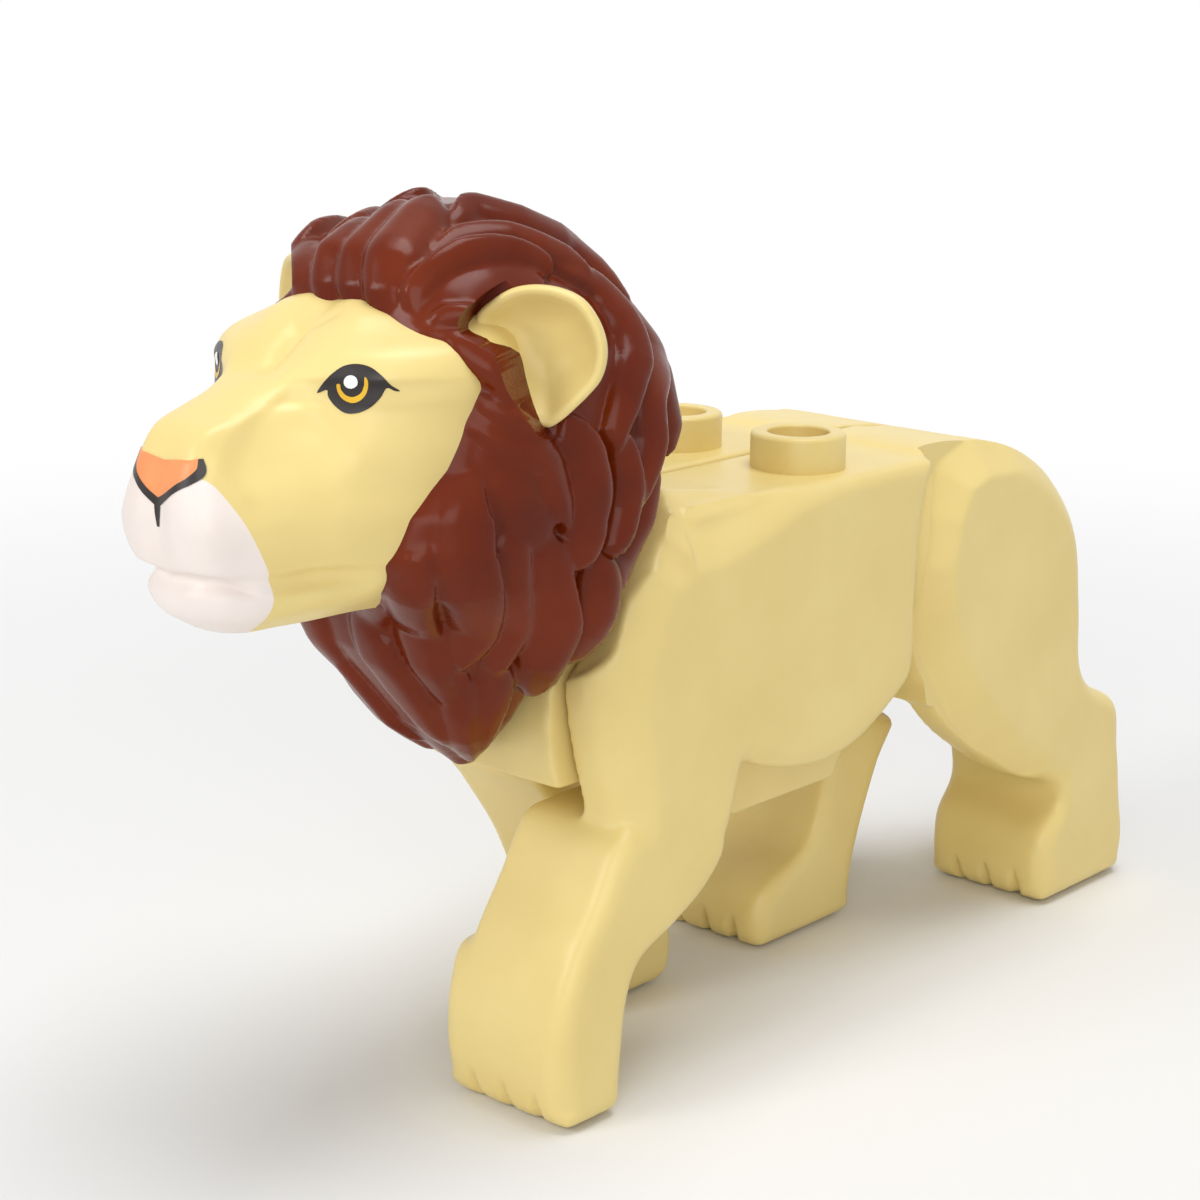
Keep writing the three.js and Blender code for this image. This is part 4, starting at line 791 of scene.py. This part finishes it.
EAR_OUTLINE = [
    (-2.96, 1.47), (-2.37, 2.07), (-1.4, 2.67), (-0.4, 2.86), (0.69, 2.76), (1.62, 2.36), (2.25, 1.62),
    (2.65, 0.66), (2.7, -0.19), (2.46, -1.04), (2.0, -1.65), (1.37, -2.3), (0.74, -2.88), (0.19, -3.18),
    (-0.5, -2.95), (-1.4, -2.15), (-2.1, -1.1), (-2.6, 0.0), (-2.95, 0.85),
]
# The mane's edge across the ear's foot, in the same plane.
EAR_FOOT = [(-0.54, -2.13), (-0.97, -1.2), (-1.22, -0.44), (-1.52, 0.14), (-2.24, 0.64)]
# What shows of the ear past the mane.
EAR_SEEN = [
    (-3.1, 1.2), (-2.6, 2.3), (-1.5, 3.1), (0, 3.4), (1.6, 3.2), (3.4, 2.2), (3.8, 0), (3.2, -2.2), (1.6, -3.6),
    (0.3, -3.5), (-0.11, -2.81), *EAR_FOOT,
]
# How far the mane is open behind what shows, down to the bottom of the ear's hollow.
EAR_DEEP = [
    (-2.5, 1.3), (-1.9, 2.1), (-0.9, 2.6), (0.6, 2.6), (1.6, 2.2), (2.3, 1.4), (2.6, 0), (2.2, -1.2),
    (1.3, -2.2), (0.4, -2.9), (-0.11, -2.7), *EAR_FOOT,
]
# From the ear's back over its rim into its hollow: share of the outline, depth in front of the ear's plane,
# and how far the middle of the ring has moved to the middle of the hollow.
EAR_SECTION = [
    (0.05, -1.75, 0), (0.4, -1.66, 0), (0.7, -1.35, 0), (0.88, -0.9, 0), (0.97, -0.42, 0), (1.0, 0.0, 0),
    (0.985, 0.22, 0), (0.94, 0.33, 0), (0.88, 0.28, 0.05), (0.8, 0.02, 0.12), (0.68, -0.4, 0.3),
    (0.5, -0.82, 0.55), (0.3, -1.05, 0.8), (0.04, -1.12, 1),
]
EAR_PLACE = np.array([7.71, -22.7, 36.85])
EAR_HOLLOW = np.array([-0.35, 0.35])
EAR_TURN = math.radians(28)
EAR_FACING = np.array([math.sin(EAR_TURN), -math.cos(EAR_TURN), 0])
EAR_ACROSS = np.array([math.cos(EAR_TURN), math.sin(EAR_TURN), 0])


def on_ear(flat, depth):
    """Places in the ear's plane, or a depth in front of it."""
    return EAR_PLACE + flat[:, :1] * EAR_ACROSS + flat[:, 1:] * [0, 0, 1.0] + depth * EAR_FACING


def ear_part():
    outline = smooth_flat(EAR_OUTLINE, True, 6)
    middle = outline.mean(0)
    rings = []
    for share, depth, moved in smooth(EAR_SECTION, False, 4):
        rings.append(on_ear(middle + (outline - middle) * share + (EAR_HOLLOW - middle) * moved, depth))
    return skin(rings)


def ear_stalk():
    ends = EAR_PLACE - EAR_FACING * 1.0 + [-0.3, 0, -0.4], EAR_PLACE + [-5.4, 1.35, -0.4]
    angles = angles_round(32)
    ring = 1.3 * np.cos(angles)[:, None] * EAR_ACROSS, 1.7 * np.sin(angles)[:, None] * [0, 0, 1.0]
    return skin([end + ring[0] + ring[1] for end in ends])


def ear_view(outline, back, depth=7.0):
    """Room in front of the ear, through which it is seen past the mane."""
    near = on_ear(smooth_flat(outline, True, 4), -back)
    return skin([near, near + EAR_FACING * depth])


def drawn_in(verts, edge):
    """Moves points that the photo's view would show left of an edge onto it; the edge is in pixels."""
    away = verts - CAMERA
    depth = away @ AHEAD
    x, y = (IMAGE / 2 + FOCAL * (away @ axis) / depth for axis in (RIGHT, DOWN))
    xs, ys = np.array(edge, float).T
    short = np.clip(np.interp(y, ys, xs) - x, 0, None)
    short[(y < ys[0]) | (y > ys[-1])] = 0
    return verts + (short * depth / FOCAL)[:, None] * RIGHT


# What the head's shares multiply, and where they start.
HEAD_WIDE, HEAD_LONG, HEAD_TALL = 8.0, 20.0, 14.0
HEAD_START, HEAD_LOW = -17.5, 25.5


def head_loft(around=12, along=10):
    """The head, smooth through its levels."""
    rings = []
    for z, *half in HEAD_LEVEL:
        left = [(x * HEAD_WIDE, HEAD_START - y * HEAD_LONG) for x, y in half]
        right = [(-x, y) for x, y in left[1:-1][::-1]]
        rings.append([(x, y, HEAD_LOW + z * HEAD_TALL) for x, y in left + right])
    level = np.array([smooth(ring, True, around) for ring in rings])
    return skin(smooth(level, False, along))


def off_line(points, path):
    """Distance of each point from a path, and the share of the path's length at the nearest place."""
    path = np.asarray(path, float)
    best = np.full(len(points), 1e9)
    where = np.zeros(len(points))
    lengths = np.linalg.norm(np.diff(path, axis=0), axis=1)
    starts = np.concatenate([[0], np.cumsum(lengths)])
    for i, length in enumerate(lengths):
        along = (path[i + 1] - path[i]) / length
        t = np.clip((points - path[i]) @ along, 0, length)
        gap = np.linalg.norm(points - path[i] - t[:, None] * along, axis=1)
        closer = gap < best
        best[closer] = gap[closer]
        where[closer] = (starts[i] + t[closer]) / starts[-1]
    return best, where


def carved(mesh, path, depth, width, sharp=1.6, fade=0.25):
    """Presses a line into a surface, or raises it where the depth is negative; both sides of the face."""
    verts, normals = arrays(mesh)
    path = smooth(path, False, 8)
    for side in (1, -1):
        gap, where = off_line(verts, path * [side, 1, 1])
        ends = np.clip(np.minimum(where, 1 - where) / fade, 0, 1)
        push = depth * np.exp(-((gap / width) ** sharp)) * ends
        verts = verts - normals * push[:, None]
    set_verts(mesh, verts)


def on_surface(tree, x, y):
    """The place that the photo shows at a pixel, and the direction off the surface there."""
    hit, normal, _, _ = tree.ray_cast(Vector(CAMERA), Vector(sight(x, y)).normalized())
    return np.array(hit), np.array(normal)


def seen(tree, pixels):
    return [on_surface(tree, x, y)[0] for x, y in pixels]


def tree_of(mesh):
    return BVHTree.FromPolygons([v.co for v in mesh.vertices], [p.vertices for p in mesh.polygons])


def filled(outline, spacing):
    """A closed outline in a plane as fine triangles."""
    outline = np.asarray(outline, float)
    low, high = outline.min(0), outline.max(0)
    inner = [
        (x, y)
        for x in np.arange(low[0] + spacing / 2, high[0], spacing)
        for y in np.arange(low[1] + spacing / 2, high[1], spacing)
    ]
    edges = [(i, (i + 1) % len(outline)) for i in range(len(outline))]
    points = [Vector(p) for p in outline] + [Vector(p) for p in inner]
    verts, _, faces, _, _, _ = delaunay_2d_cdt(points, edges, [], 1, 1e-6)
    return np.array([tuple(v) for v in verts]), [tuple(f) for f in faces]


def print_seen(tree, outline, lift, spacing=2.0):
    """A printed patch whose outline is given in the photo's pixels, and its twin on the other side."""
    flat, faces = filled(smooth_flat(outline, True, 6), spacing)
    verts = []
    for x, y in flat:
        hit, normal = on_surface(tree, x, y)
        verts.append(hit + normal * lift)
    part = (np.array(verts), faces)
    return [part, flipped(part)]


def print_front(tree, outline, lift, spacing=0.16):
    """A printed patch across the middle of the face, laid on from straight ahead; outline as (x, z)."""
    flat, faces = filled(outline, spacing)
    verts = []
    for x, z in flat:
        hit, normal, _, _ = tree.ray_cast(Vector((x, -60, z)), Vector((0, 1, 0)))
        if hit is None:
            hit, normal, _, _ = tree.find_nearest(Vector((x, -35, z)))
        verts.append(np.array(hit) + np.array(normal) * lift)
    return np.array(verts), faces


def print_line(tree, path, widths, lift, steps=10):
    """A printed line on the surface: places, and its width at each."""
    rows = smooth([(*p, w) for p, w in zip(path, widths)], False, steps)
    centre, width = rows[:, :3], rows[:, 3]
    tangent = np.gradient(centre, axis=0)
    rings = []
    for c, t, w in zip(centre, tangent, width):
        _, normal, _, _ = tree.find_nearest(Vector(c))
        side = np.cross(t, np.array(normal))
        side /= np.linalg.norm(side)
        row = []
        for s in np.linspace(-0.5, 0.5, 5):
            near, face, _, _ = tree.find_nearest(Vector(c + side * s * w))
            row.append(np.array(near) + np.array(face) * lift)
        rings.append(row)
    rings = np.array(rings)
    starts = [a * 5 + i for a in range(len(rings) - 1) for i in range(4)]
    return rings.reshape(-1, 3), [(n, n + 1, n + 6, n + 5) for n in starts]


# The mane

# What the mane's shares multiply, and where they start.
MANE_FRONT, MANE_LONG, MANE_WIDE, MANE_LOW, MANE_TALL = -30.6, 22.0, 8.4, 16.3, 26.6
# How deep the mane's own surface lies under its locks, how high they stand and how wide they are.
LOCK_GAP, LOCK_LIFT, LOCK_WIDTH = 0.35, 0.9, 1.45


def mane_level(high):
    rows = np.array(MANE_LEVEL)
    return [np.interp(high, rows[:, 0], rows[:, i]) for i in range(6)]


def mane_point(round_, high):
    """A place on the mane: round_ in half turns from the face, high as a share of its height."""
    level, front, back, wide, widest, roundness = mane_level(high)
    angle = np.asarray(round_) * math.pi
    front_y, back_y = (MANE_FRONT + share * MANE_LONG for share in (front, back))
    middle = front_y + (back_y - front_y) * widest
    reach = np.where(np.cos(angle) > 0, middle - front_y, back_y - middle)
    fullness = np.where(np.cos(angle) > 0, roundness, 1.0)
    across = np.sign(np.sin(angle)) * np.abs(np.sin(angle)) ** fullness
    x, y, z = wide * MANE_WIDE * across, middle - reach * np.cos(angle), MANE_LOW + level * MANE_TALL
    return np.stack([x, y, z], -1)


def mane_normal(round_, high):
    step = 0.02
    sideways = mane_point(round_ + step, high) - mane_point(round_ - step, high)
    upwards = mane_point(round_, high + step) - mane_point(round_, high - step)
    return unit(np.cross(sideways, upwards))


def mane_base(around=120, along=8):
    """The mane's own surface, sunk under the locks except at the face and at its two ends."""
    levels = np.array([row[0] for row in MANE_LEVEL])
    fine = smooth_flat([(a, 0) for a in levels], False, along)[:, 0]
    turns = np.arange(around) / around * 2
    rings = []
    for high in fine:
        sunk = LOCK_GAP * np.interp(high, [0.05, 0.15, 0.92, 0.97], [0, 1, 1, 0])
        sunk = sunk * np.interp(np.minimum(turns, 2 - turns), [0.24, 0.34], [0, 1])
        level = np.full(around, high)
        rings.append(mane_point(turns, level) - sunk[:, None] * mane_normal(turns, level))
    return skin(rings)


def lock_part(points, lift, proud, steps=8):
    """A leaf-shaped lock along a line on the mane, with one edge standing over the next lock."""
    rows = smooth(points, False, steps)
    centre = mane_point(rows[:, 0], np.clip(rows[:, 1], 0.0, 0.99))
    normal = mane_normal(rows[:, 0], np.clip(rows[:, 1], 0.02, 0.97))
    across = unit(np.cross(unit(np.gradient(centre, axis=0)), normal))
    travel = np.concatenate([[0], np.cumsum(np.linalg.norm(np.diff(centre, axis=0), axis=1))])
    share = travel / travel[-1]
    height = LOCK_LIFT * lift * np.interp(share, [0, 0.12, 0.45, 0.8, 0.95, 1], [0.1, 0.45, 1, 0.95, 0.7, 0.3])
    width = LOCK_WIDTH * rows[:, 2] * np.interp(share, [0, 0.08, 0.2, 0.9, 1], [0.6, 0.9, 1, 1, 0.5])
    s = np.linspace(-1, 1, 15)
    rings = []
    for c, n, a, h, w in zip(centre, normal, across, height, width):
        edge = min(0.25 + abs(proud), 0.8)
        ramp = (1 - math.copysign(1, proud) * s) / 2
        top = h * (0.85 * (1 - np.abs(s) ** 3) * (1 - 0.7 * edge) + edge * ramp - 0.1)
        ring = [c + a * w * x + n * z for x, z in zip(s, top)]
        ring += [c + a * w * 0.9 - n * 1.0, c - a * w * 0.9 - n * 1.0]
        rings.append(ring)
    return skin(rings)


def mane_part():
    locks = [lock_part(points, lift, proud) for lift, proud, points in MIDDLE_LOCKS]
    for lift, proud, points in LOCKS:
        part = lock_part(points, lift, proud)
        locks += [part, flipped(part)]
    return joined([mane_base()] + locks)


def kept_above_border(verts, gap=0.17, reach=14.0, tall=10.0):
    """Points below the border between what turns and what stays move up to it."""
    radius, high = neck_place(verts)
    rows = np.array(TURNING_BORDER)
    least = np.interp(radius, rows[:, 0] * reach, rows[:, 1] * tall) + gap
    short = np.where(radius < reach, np.maximum(least - high, 0), 0)
    return verts + short[:, None] * NECK_AXIS


# Materials


def linear(*srgb):
    return tuple((c / 255 / 12.92) if c <= 10 else ((c / 255 + 0.055) / 1.055) ** 2.4 for c in srgb) + (1.0,)


def added(tree, kind, **values):
    """A new shader node, with values for its sockets by name; an underscore stands for a space."""
    made = tree.nodes.new("ShaderNode" + kind)
    for name, value in values.items():
        made.inputs[name.replace("_", " ")].default_value = value
    return made


def noise(tree, scale, detail):
    """The output of a noise in the piece's own space."""
    made = added(tree, "TexNoise", Scale=scale, Detail=detail)
    tree.links.new(added(tree, "TexCoord").outputs["Object"], made.inputs["Vector"])
    return made.outputs["Fac"]


def plastic(name, colour, other, rough, grain, tint_scale, bump=0.06, shine=0.5):
    """Moulded plastic: a slow drift of tint, a fine grain in the gloss, and a faint skin in the surface."""
    made = bpy.data.materials.new(name)
    made.use_nodes = True
    tree = made.node_tree
    shader = tree.nodes["Principled BSDF"]
    ramp = added(tree, "ValToRGB")
    for stop, place, tint in zip(ramp.color_ramp.elements, (0.3, 0.7), (other, colour)):
        stop.position, stop.color = place, tint
    gloss = added(tree, "MapRange", To_Min=rough - grain, To_Max=rough + grain)
    skin_bump = added(tree, "Bump", Strength=bump, Distance=0.0002)
    for start, end in (
        (noise(tree, tint_scale, 3), ramp.inputs["Fac"]),
        (ramp.outputs["Color"], shader.inputs["Base Color"]),
        (noise(tree, 2600, 4), gloss.inputs["Value"]),
        (gloss.outputs["Result"], shader.inputs["Roughness"]),
        (noise(tree, 900, 5), skin_bump.inputs["Height"]),
        (skin_bump.outputs["Normal"], shader.inputs["Normal"]),
    ):
        tree.links.new(start, end)
    shader.inputs["Specular IOR Level"].default_value = shine
    return made


tan = plastic("tan_plastic", linear(233, 211, 139), linear(227, 203, 130), 0.36, 0.05, 160, 0.08, 0.4)
brown = plastic("brown_plastic", linear(112, 40, 8), linear(94, 28, 5), 0.22, 0.06, 220, 0.08, 0.18)
muzzle_print = plastic("muzzle_print", linear(240, 230, 224), linear(234, 222, 214), 0.4, 0.05, 300)
nose_print = plastic("nose_print", linear(240, 152, 92), linear(232, 140, 82), 0.38, 0.05, 500)
black_print = plastic("black_print", linear(24, 17, 15), linear(32, 22, 18), 0.34, 0.06, 600)
iris_print = plastic("iris_print", linear(233, 186, 40), linear(222, 170, 30), 0.34, 0.05, 900, 0.05)
glint_print = plastic("glint_print", linear(245, 245, 245), linear(238, 238, 240), 0.34, 0.05, 600, 0.05)


# The pieces

# A path on the mane, as (round, high), along which it stands further out than its table.
MANE_SWELL = [(0.5, 0.5), (0.53, 0.44), (0.55, 0.38), (0.55, 0.31), (0.54, 0.24)]
# The mane's edge in front of the far ear, in the photo's pixels.
FAR_EDGE = [(262, 222), (288, 230), (291, 240), (292, 288), (284, 297), (263, 312), (256, 318)]

mane = fused(mesh_from("mane", mane_part()), 0.15, 2)
carved(mane, [mane_point(round_, high) for round_, high in MANE_SWELL], -0.55, 1.8, 2)
rooms = [ear_view(EAR_SEEN, 0.2), ear_view(EAR_DEEP, 1.9)]
mane = cut(mane, rooms + [flipped(room) for room in rooms])
verts, _ = arrays(mane)
set_verts(mane, kept_above_border(drawn_in(verts, FAR_EDGE)))
eased(mane, 2, BOX_HIGH[2] - 0.02)

# Each side's outlines, the places of the sockets in its soles, and where its toes are parted.
HALVES = [
    ("left_half", 1, LEFT_FLANK, REARWARD_THIGH, FORWARD_ARM, REARWARD_FOOT,
     FORWARD_PAW, [24], [-0.42 * STANCE, 0.392 * STANCE]),
    ("right_half", -1, RIGHT_FLANK, FORWARD_THIGH, REARWARD_ARM, FORWARD_FOOT,
     None, [-8, 8], [-0.218 * STANCE, 0.06 * STANCE]),
]
for node, side, *shape in HALVES:
    stud = lathe(STUD_SECTION, 96, (side * STUD_PITCH_HALF, 0, DECK_Z))
    half = with_parts(body_half(side, *shape), [stud])
    placed(half, node + "_skin", "body", "tan", tan, node, crease=45)
placed(chest_mesh(), "chest_skin", "body", "tan", tan, "chest", crease=45)
placed(mesh_from("tail", tail_part()), "tail_skin", "body", "tan", tan, "tail", crease=45)
tuft = tuft_mesh()
eased(tuft, 1, BOX_HIGH[1] + MIDDLE_Y - 0.02)
placed(tuft, "tuft_skin", "body", "brown", brown, "tail_tuft", crease=45)

# Lines of the face in the photo's pixels: depth, width, sharpness and fade.
FACE_LINES = {
    "mouth": ([(175, 576), (200, 580), (230, 587), (255, 596), (274, 603)], 0.34, 0.3, 1.4, 0.3),
    "jowl": ([(262, 600), (280, 594), (297, 586), (317, 581), (345, 581), (375, 587)], 0.34, 0.6, 1.6, 0.35),
    "frown": ([(345, 311), (315, 324), (290, 335), (279, 345), (272, 360), (258, 373)], 0.13, 0.35),
    "ridge": ([(203, 452), (228, 480), (255, 511)], -0.1, 0.25),
    "cheek": ([(294, 382), (325, 420), (368, 470)], -0.09, 0.25),
}
ON_MIDDLE = [0, 1, 1]

head = mesh_from("head", head_loft())
eased(head, 1, BOX_LOW[1] + MIDDLE_Y + 0.08)
plain_tree = tree_of(head)
for name, (pixels, *form) in FACE_LINES.items():
    path = seen(plain_tree, pixels)
    if name == "mouth":
        path.insert(0, path[0] * ON_MIDDLE)
    carved(head, path, *form)
head_tree = tree_of(head)

# Print on the face, its outlines in the photo's pixels
EYE = [
    (317, 393), (323, 383), (333, 373), (344, 366), (357, 364), (370, 367), (381, 375), (391, 385), (400, 391),
    (395, 391), (387, 388), (381, 397), (371, 407), (358, 413), (345, 413), (334, 405), (328, 396), (327, 390),
    (321, 392),
]
IRIS = [
    (337, 384), (338, 392), (343, 399), (352, 403), (361, 400), (367, 392), (368, 381), (365, 377), (364, 386),
    (361, 393), (353, 397), (346, 395), (341, 389), (340, 384),
]
GLINT_X, GLINT_Y, GLINT_WIDE, GLINT_TALL = 351, 382, 7, 6.5
MUZZLE_EDGE = [(203, 480), (214, 487), (230, 505), (245, 525), (257, 547), (266, 567), (272, 588), (275, 600)]
NOSE_TOP, NOSE_TIP = [(160, 459), (180, 460)], (160, 503)
NOSE_SIDE = [(199, 459), (200, 472), (189, 481), (176, 488)]
LINE_BY_NOSE, LINE_END = [(201, 459), (201, 472), (190, 481), (177, 488), (167, 496)], (161, 527)


def printed(parts, name, material):
    placed(mesh_from(name, joined(parts)), name, "head", "tan", material)


printed(print_seen(head_tree, EYE, 0.02), "eye_print", black_print)
printed(print_seen(head_tree, IRIS, 0.035, 1.5), "iris_ring", iris_print)
turns = np.linspace(0, 2 * math.pi, 12, endpoint=False)
glint = [(GLINT_X + GLINT_WIDE * math.cos(a), GLINT_Y + GLINT_TALL * math.sin(a)) for a in turns]
printed(print_seen(head_tree, glint, 0.05, 1.5), "eye_glint", glint_print)

front_y, half_wide = -45.0, 12.0
edge = smooth_flat([p[1:] for p in seen(plain_tree, MUZZLE_EDGE)], False, 6)
room = [(front_y, edge[0][1])] + [tuple(p) for p in edge] + [(edge[-1][0], 0.0), (front_y, 0.0)]
muzzle = cut(head, [skin([[(x, y, z) for y, z in room] for x in (-half_wide, half_wide)])], "INTERSECT")
verts, normals = arrays(muzzle)
set_verts(muzzle, verts + normals * 0.02)
placed(muzzle, "muzzle_white", "head", "tan", muzzle_print, crease=60)

nose_tip = seen(head_tree, [NOSE_TIP])[0]
nose_top = seen(head_tree, NOSE_TOP)
nose = [(0.0, nose_top[0][2])] + [(p[0], p[2]) for p in nose_top[1:] + seen(head_tree, NOSE_SIDE)]
nose += [(0.0, nose_tip[2])] + [(-x, z) for x, z in nose[:0:-1]]
printed([print_front(head_tree, nose, 0.034)], "nose_patch", nose_print)

tip = nose_tip * ON_MIDDLE
by_nose = seen(head_tree, LINE_BY_NOSE) + [tip]
by_nose = print_line(head_tree, by_nose, [0.2, 0.42, 0.34, 0.28, 0.3, 0.38], 0.045)
bottom = seen(head_tree, [LINE_END])[0] * ON_MIDDLE
stem = print_line(head_tree, [tip, (tip + bottom) / 2, bottom], [0.42, 0.32, 0.14], 0.047)
printed([by_nose, flipped(by_nose), stem], "nose_line", black_print)

placed_head = placed(head, "head_skin", "head", "tan", tan, crease=60)
ears = []
for part in (ear_part(), ear_stalk()):
    ears += [part, flipped(part)]
placed(mesh_from("ears", joined(ears)), "ear_pair", "head", "tan", tan, crease=60)
boss = cut(mesh_from("boss", neck_rod(4.2, 1.75, 7.5)), [neck_rod(2.3, -0.3, 6.6)])
placed(boss, "head_boss", "head", "tan", tan, crease=45)
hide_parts("head")
placed(mane, "mane_locks", "head", "brown", brown, "mane", crease=50)
dressed(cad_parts["neck_pin"], tan)

# Stage, light and camera


def to_row(point):
    return Vector((point[0] / 1000, (point[1] - MIDDLE_Y) / 1000, point[2] / 1000))


def seen_directly(tree):
    """One for the rays of the camera, and of gloss and glass, else nought."""
    rays = added(tree, "LightPath")
    total = rays.outputs["Is Camera Ray"]
    for kind in ("Is Glossy Ray", "Is Transmission Ray"):
        add = added(tree, "Math")
        add.use_clamp = True
        tree.links.new(total, add.inputs[0])
        tree.links.new(rays.outputs[kind], add.inputs[1])
        total = add.outputs["Value"]
    return total


def mixed(tree, share, first, second, surface):
    """Two shaders mixed by a share, as the output's surface."""
    mix = added(tree, "MixShader")
    tree.links.new(share, mix.inputs["Fac"])
    tree.links.new(first, mix.inputs[1])
    tree.links.new(second, mix.inputs[2])
    tree.links.new(mix.outputs["Shader"], surface)


def floor_paper():
    """Pale paper round the lion that passes into plain white light further off."""
    made = bpy.data.materials.new("floor_paper")
    made.use_nodes = True
    tree = made.node_tree
    paper = tree.nodes["Principled BSDF"]
    paper.inputs["Base Color"].default_value = linear(232, 232, 232)
    paper.inputs["Roughness"].default_value = 0.8
    far = added(tree, "VectorMath")
    far.operation = "LENGTH"
    fade = added(tree, "MapRange", From_Min=0.05, From_Max=0.16)
    fade.interpolation_type = "SMOOTHSTEP"
    shown = added(tree, "Math")
    shown.operation = "MULTIPLY"
    tree.links.new(added(tree, "TexCoord").outputs["Object"], far.inputs[0])
    tree.links.new(far.outputs["Value"], fade.inputs["Value"])
    tree.links.new(fade.outputs["Result"], shown.inputs[0])
    tree.links.new(seen_directly(tree), shown.inputs[1])
    white = added(tree, "Emission").outputs["Emission"]
    surface = tree.nodes["Material Output"].inputs["Surface"]
    mixed(tree, shown.outputs["Value"], paper.outputs["BSDF"], white, surface)
    return made


FLOOR_REACH = 3.0
floor_mesh = bpy.data.meshes.new("floor")
corners = [(x * FLOOR_REACH, y * FLOOR_REACH, 0) for x, y in ((-1, -1), (1, -1), (1, 1), (-1, 1))]
floor_mesh.from_pydata(corners, [], [(0, 1, 2, 3)])
floor = bpy.data.objects.new("floor", floor_mesh)
floor.location.z = -0.00002
bpy.context.scene.collection.objects.link(floor)
dressed(floor, floor_paper())

world = bpy.data.worlds.new("studio")
bpy.context.scene.world = world
world.use_nodes = True
world.node_tree.nodes.clear()
soft, plain = (
    added(world.node_tree, "Background", Color=(1, 1, 1, 1), Strength=strength).outputs["Background"]
    for strength in (0.4, 1.0)
)
output = added(world.node_tree, "OutputWorld")
mixed(world.node_tree, seen_directly(world.node_tree), soft, plain, output.inputs["Surface"])


def lamp(name, place, aim, size, watts):
    data = bpy.data.lights.new(name, "AREA")
    data.shape = "RECTANGLE"
    data.size, data.size_y = size
    data.energy = watts
    obj = bpy.data.objects.new(name, data)
    obj.location = to_row(place)
    obj.rotation_mode = "QUATERNION"
    obj.rotation_quaternion = (to_row(aim) - obj.location).to_track_quat("-Z", "Y")
    bpy.context.scene.collection.objects.link(obj)


lamp("key", (-110, -410, 250), (0, -10, 20), (0.16, 0.16), 0.6)
lamp("fill", (300, -340, 180), (0, 0, 20), (0.3, 0.3), 0.65)
lamp("top", (60, 20, 520), (0, 0, 20), (0.3, 0.3), 1.6)

camera = bpy.data.objects.new("camera", bpy.data.cameras.new("camera"))
camera.data.sensor_width = 36
camera.data.lens = FOCAL / IMAGE * 36
camera.data.clip_start, camera.data.clip_end = 0.005, 20
axes = Matrix((RIGHT, -DOWN, -AHEAD)).transposed()
camera.rotation_mode = "QUATERNION"
camera.rotation_quaternion = axes.to_quaternion()
camera.location = to_row(CAMERA)
bpy.context.scene.collection.objects.link(camera)
bpy.context.scene.camera = camera
bpy.context.scene.view_settings.view_transform = "Standard"
